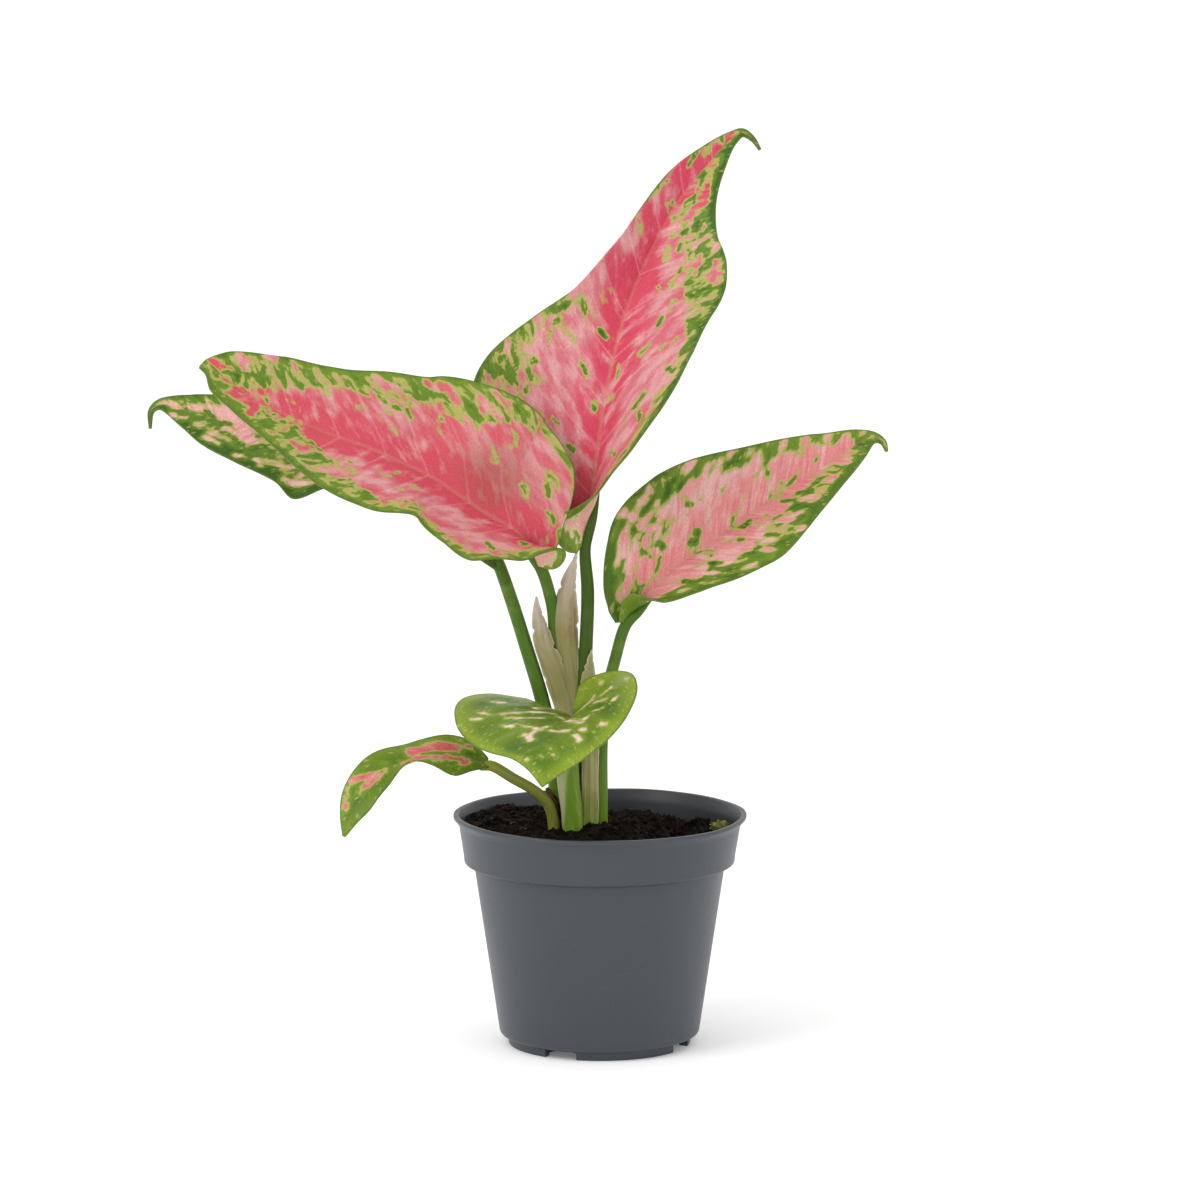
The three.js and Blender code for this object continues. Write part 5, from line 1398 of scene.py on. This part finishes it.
def peat(name):
    """The peat that fills the pot, lumpy on top."""
    gap = POT["wall"] + 0.12
    lip, collar, step, foot, inner = POT["lip"], POT["collar"], POT["step"], POT["foot"], POT["inner"]
    channel, disc = POT["channel"], POT["disc"]
    flare = (lip["under"] - collar["radius"]) / (inner["lip"] - inner["collar"])

    def edge_at(z):
        return collar["radius"] - gap + (z - inner["collar"]) * flare

    edge = edge_at(SOIL["level"])
    rings, segments = 84, 264
    side = [
        (0, disc["top"] + 0.3),
        (disc["radius"] - 0.3, disc["top"] + 0.3),
        (disc["radius"] + disc["slope"] - 0.3, channel["top"] + 0.3),
        (foot["radius"] - gap - inner["bend"], channel["top"] + 0.3),
        (foot["radius"] - gap, inner["foot"] + 0.3),
        (step["radius"] - gap, inner["step"] + 0.3),
        (collar["radius"] - collar["shoulder"] - gap, inner["shoulder"] + 0.3),
        (collar["radius"] - gap, inner["collar"]),
    ]
    top = [(edge * (1 - k / rings), SOIL["level"]) for k in range(rings + 1)]
    piece = turned(name, side + top, segments)
    first_top = 1 + (len(side) - 1) * segments
    for vertex in piece.data.vertices[first_top:]:
        x, y = vertex.co.x / MM, vertex.co.y / MM
        height = min(peat_height(x, y), POT["height"] + 2)
        inward = min(1.0, edge_at(height) / max(math.hypot(x, y), 0.1))
        vertex.co = (x * inward * MM, y * inward * MM, height * MM)
    piece.data.update()
    return piece


def moss_tuft(name):
    """A small cushion of moss, lying on the peat by the wall."""
    x, y, radius = MOSS
    middle = Vector((x, y, peat_height(x, y) + 0.7 * radius))
    shape = bmesh.new()
    bmesh.ops.create_icosphere(shape, subdivisions=4, radius=radius)
    for vertex in shape.verts:
        swell = 1.0 + 0.4 * noise.fractal(vertex.co * 1.3, 0.8, 2.0, 4)
        vertex.co = (vertex.co * swell * Vector((1.25, 0.9, 0.75)) + middle) * MM
    piece = new_piece(name, [], [])
    shape.to_mesh(piece.data)
    shape.free()
    piece.data.shade_smooth()
    return piece


# Where lumps may lie, in metres: above this height, this steep at most and clear of the wall.
BED = dict(lowest=0.0415, steepness=0.45, radius=0.0275, wall=0.0281)


def crumb_tree(finish):
    """Scatters small lumps over a surface. Its inputs are their number, their radius and a seed."""
    tree = bpy.data.node_groups.new("peat crumbs", "GeometryNodeTree")
    face = tree.interface
    face.new_socket("Geometry", in_out="INPUT", socket_type="NodeSocketGeometry")
    for label, kind in dict(Number="Int", Radius="Float", Seed="Int").items():
        face.new_socket(label, in_out="INPUT", socket_type=f"NodeSocket{kind}")
    face.new_socket("Geometry", in_out="OUTPUT", socket_type="NodeSocketGeometry")

    def add(kind, links=None, **settings):
        made = tree.nodes.new(kind)
        for name, value in settings.items():
            setattr(made, name, value)
        for key, value in (links or {}).items():
            socket = made.inputs[key]
            if isinstance(value, bpy.types.NodeSocket):
                tree.links.new(value, socket)
            else:
                socket.default_value = value
        return made.outputs

    def maths(operation, *values):
        return add("ShaderNodeMath", dict(enumerate(values)), operation=operation)[0]

    def above(value, limit):
        kind = dict(data_type="FLOAT", operation="GREATER_THAN")
        return add("FunctionNodeCompare", {0: value, 1: limit}, **kind)[0]

    def both(first, second):
        return add("FunctionNodeBooleanMath", {0: first, 1: second}, operation="AND")[0]

    def scaled(vector, by):
        return add("ShaderNodeVectorMath", {0: vector, "Scale": by}, operation="SCALE")[0]

    def chance(low, high, seed):
        links = {"Min": low, "Max": high, "Seed": seed}
        return add("FunctionNodeRandomValue", links, data_type="FLOAT_VECTOR")["Value"]

    # Where the lumps lie
    given = add("NodeGroupInput")
    across, back, up = add("ShaderNodeSeparateXYZ", {0: add("GeometryNodeInputPosition")[0]})
    facing = add("ShaderNodeSeparateXYZ", {0: add("GeometryNodeInputNormal")[0]})["Z"]
    squares = maths("MULTIPLY_ADD", back, back, maths("MULTIPLY", across, across))
    away = maths("SQRT", squares)
    limit = maths("MULTIPLY_ADD", given["Radius"], -3.2, BED["wall"])
    open_peat = both(above(facing, BED["steepness"]), above(up, BED["lowest"]))
    density = maths("DIVIDE", given["Number"], math.pi * BED["radius"] ** 2)
    points = add(
        "GeometryNodeDistributePointsOnFaces",
        {
            "Mesh": given["Geometry"],
            "Selection": both(open_peat, above(limit, away)),
            "Density": density,
            "Seed": given["Seed"],
        },
        distribute_method="RANDOM",
    )["Points"]

    # The shape of a lump, dented
    lump = add("GeometryNodeMeshIcoSphere", {"Radius": given["Radius"], "Subdivisions": 2})["Mesh"]
    grain = maths("DIVIDE", 0.6, given["Radius"])
    dents = maths("SUBTRACT", add("ShaderNodeTexNoise", {"Scale": grain, "Detail": 1.0})[0], 0.5)
    dents = maths("MULTIPLY", dents, maths("MULTIPLY", given["Radius"], 2.6))
    push = scaled(add("GeometryNodeInputNormal")[0], dents)
    rough = add("GeometryNodeSetPosition", {"Geometry": lump, "Offset": push})[0]

    # Its turn and its size
    turn = chance((0.0, 0.0, 0.0), (6.28, 6.28, 6.28), given["Seed"])
    draw = add("FunctionNodeRandomValue", {"Min": 0.0, "Max": 1.0, "Seed": given["Seed"]}, data_type="FLOAT")
    size = maths("MULTIPLY_ADD", maths("POWER", draw[1], 3.0), 1.5, 0.35)
    scale = scaled(chance((0.6, 0.6, 0.5), (1.4, 1.2, 1.0), 11), size)
    links = {"Points": points, "Instance": rough, "Rotation": turn, "Scale": scale}
    placed = add("GeometryNodeInstanceOnPoints", links)[0]
    real = add("GeometryNodeRealizeInstances", {"Geometry": placed})[0]
    dressed = add("GeometryNodeSetMaterial", {"Geometry": real, "Material": finish})[0]
    add("NodeGroupOutput", {"Geometry": dressed})
    return tree


# ------------------------------------------------------------------ operators


class EVERGREEN_OT_studio(bpy.types.Operator):
    """Make the floor, the soft light and the camera"""

    bl_idname = "evergreen.studio"
    bl_label = "Studio"

    def execute(self, context):
        settings = context.scene.evergreen_studio
        scene = context.scene
        scene.view_settings.view_transform = "Standard"
        half = 6.0
        floor = new_piece(
            "floor",
            [(-half, -half, 0), (half, -half, 0), (half, half, 0), (-half, half, 0)],
            [(0, 1, 2, 3)],
        )
        floor.data.materials.append(floor_finish(settings))

        world = bpy.data.worlds.new("soft sky")
        world.use_nodes = True
        sky = world.node_tree.nodes["Background"]
        sky.inputs["Color"].default_value = (1.0, 1.0, 1.0, 1.0)
        sky.inputs["Strength"].default_value = settings.sky
        scene.world = world

        lamps = (
            ("key lamp", (-0.75, -0.55, 0.75), settings.key, 0.6),
            ("fill lamp", (0.8, -0.7, 0.4), settings.key * 0.25, 0.7),
        )
        for name, place, power, size in lamps:
            lamp = bpy.data.lights.new(name, "AREA")
            lamp.energy = power
            lamp.size = size
            shown = bpy.data.objects.new(name, lamp)
            shown.location = place
            shown.rotation_euler = (Vector((0, 0, 0.09)) - Vector(place)).to_track_quat("-Z", "Y").to_euler()
            scene.collection.objects.link(shown)

        lens = bpy.data.cameras.new("camera")
        lens.sensor_width = 36.0
        lens.lens = settings.lens
        lens.clip_start, lens.clip_end = 0.05, 50.0
        camera = bpy.data.objects.new("camera", lens)
        aim = Vector((VIEW["x"], 0, VIEW["height"])) * MM
        slope = math.radians(VIEW["slope"])
        camera.location = aim + Vector((0, -math.cos(slope), math.sin(slope))) * VIEW["distance"] * MM
        camera.rotation_euler = (math.pi / 2 - slope, 0, 0)
        scene.collection.objects.link(camera)
        scene.camera = camera
        return {"FINISHED"}


class EVERGREEN_OT_pot(bpy.types.Operator):
    """Make the moulded nursery pot"""

    bl_idname = "evergreen.pot"
    bl_label = "Pot"

    def execute(self, context):
        settings = context.scene.evergreen_pot
        settle(nursery_pot(settings), ["pot"], plastic_finish(settings))
        return {"FINISHED"}


class EVERGREEN_OT_peat(bpy.types.Operator):
    """Fill the pot with peat and scatter crumbs on it"""

    bl_idname = "evergreen.peat"
    bl_label = "Peat"

    def execute(self, context):
        settings = context.scene.evergreen_peat
        finish = peat_finish("damp peat", settings)
        ground = peat("peat")
        settle(ground, ["soil"], finish)

        settle(moss_tuft("moss_tuft"), [], peat_finish("moss", settings, 0.7))
        corners = [vertex.co[:] for vertex in ground.data.vertices]
        faces = [face.vertices[:] for face in ground.data.polygons]
        tree = crumb_tree(finish)
        scattered = dict(
            peat_crumbs=(settings.crumbs, settings.crumb_size, settings.seed),
            peat_clods=(settings.clods, settings.clod_size, settings.seed + 1),
        )
        for name, (number, radius, seed) in scattered.items():
            lumps = new_piece(name, corners, faces)
            scatter = lumps.modifiers.new(name, "NODES")
            scatter.node_group = tree
            values = {"Number": number, "Radius": radius, "Seed": seed}
            for item in tree.interface.items_tree:
                if item.in_out == "INPUT" and item.name in values:
                    scatter[item.identifier] = values[item.name]
            applied(lumps)
            settle(lumps, [], finish)
        return {"FINISHED"}


class EVERGREEN_OT_stalks(bpy.types.Operator):
    """Make the short cane, the stalks and the withered foot of an old leaf"""

    bl_idname = "evergreen.stalks"
    bl_label = "Stalks"

    def execute(self, context):
        settings = context.scene.evergreen_stem
        plain = stalk_finish("stalk green", settings, 44.0, 0.0, 0.1)
        winged = stalk_finish("stalk with a pale edge", settings, 46.0, 0.0, 0.0, 0.85)
        dark = stalk_finish("stalk dark green", settings, 44.0, 0.0, 0.75)
        olive = stalk_finish("stalk olive", settings, 30.0, 0.75, 0.0)
        finishes = dict(top=dark, low_left=olive, front=winged)
        aside = dict(top=0.8, right=0.8)
        settle(stalk("short_cane", CANE, swelling=0.1), ["cane"], plain)
        for leaf, shape in LEAVES.items():
            piece = stalk(f"{leaf}_stalk", into_blade(shape, aside.get(leaf, 0.0)), groove=0.1)
            settle(piece, [f"stalk_{NODE_NAMES[leaf]}"], finishes.get(leaf, plain))
        foot = stalk("withered_foot", STUB, sides=16, step=0.4, wrinkle=0.25)
        settle(foot, ["withered_stub"], withered_finish())
        return {"FINISHED"}


class EVERGREEN_OT_sheaths(bpy.types.Operator):
    """Make the dry sheaths that wrap the stalks"""

    bl_idname = "evergreen.sheaths"
    bl_label = "Sheaths"

    def execute(self, context):
        settings = context.scene.evergreen_stem
        brown = dict(back_left=0.3, left=0.7, right=0.6)
        pale_from = dict(back_left=86.0, left=93.0, right=84.0)
        for k, (name, shape) in enumerate(SHEATHS.items()):
            piece = sheath(f"{name}_sheath", shape, settings, 2.0 + 3 * k)
            label = f"{name.replace('_', ' ')} sheath"
            finish = sheath_finish(label, settings, brown[name], pale_from[name], 4.0 * k)
            settle(piece, [f"sheath_{NODE_NAMES[name]}"], finish)
        return {"FINISHED"}


class EVERGREEN_OT_blades(bpy.types.Operator):
    """Make the six leaf blades"""

    bl_idname = "evergreen.blades"
    bl_label = "Leaf blades"

    def execute(self, context):
        settings = context.scene.evergreen_blade
        for leaf, shape in LEAVES.items():
            look = LOOKS[leaf]
            piece = blade(f"{leaf}_blade", shape, look, SPOTS[leaf], settings)
            finish = blade_finish(f"{leaf.replace('_', ' ')} blade", look, settings)
            settle(piece, [f"leaf_{NODE_NAMES[leaf]}"], finish)
        return {"FINISHED"}


class EVERGREEN_PT_panel(bpy.types.Panel):
    """Lists the pieces of the plant and their sizes and colours"""

    bl_label = "Chinese Evergreen"
    bl_idname = "EVERGREEN_PT_panel"
    bl_space_type = "VIEW_3D"
    bl_region_type = "UI"
    bl_category = "Evergreen"

    def draw(self, context):
        for operator, group in PARTS:
            box = self.layout.box()
            box.operator(operator.bl_idname)
            settings = getattr(context.scene, group)
            for name in settings.__annotations__:
                box.prop(settings, name)


# Each operator with the settings that it reads
PARTS = (
    (EVERGREEN_OT_studio, "evergreen_studio"),
    (EVERGREEN_OT_pot, "evergreen_pot"),
    (EVERGREEN_OT_peat, "evergreen_peat"),
    (EVERGREEN_OT_stalks, "evergreen_stem"),
    (EVERGREEN_OT_sheaths, "evergreen_stem"),
    (EVERGREEN_OT_blades, "evergreen_blade"),
)
GROUPS = dict(
    evergreen_blade=EvergreenBladeSettings,
    evergreen_stem=EvergreenStemSettings,
    evergreen_pot=EvergreenPotSettings,
    evergreen_peat=EvergreenPeatSettings,
    evergreen_studio=EvergreenStudioSettings,
)


def register():
    for name, group in GROUPS.items():
        bpy.utils.register_class(group)
        setattr(bpy.types.Scene, name, PointerProperty(type=group))
    for operator, _ in PARTS:
        bpy.utils.register_class(operator)
    bpy.utils.register_class(EVERGREEN_PT_panel)


def unregister():
    bpy.utils.unregister_class(EVERGREEN_PT_panel)
    for operator, _ in reversed(PARTS):
        bpy.utils.unregister_class(operator)
    for name, group in reversed(GROUPS.items()):
        delattr(bpy.types.Scene, name)
        bpy.utils.unregister_class(group)


def main():
    register()
    bpy.ops.evergreen.studio()
    bpy.ops.evergreen.pot()
    bpy.ops.evergreen.peat()
    bpy.ops.evergreen.stalks()
    bpy.ops.evergreen.sheaths()
    bpy.ops.evergreen.blades()


if __name__ == "__main__":
    main()
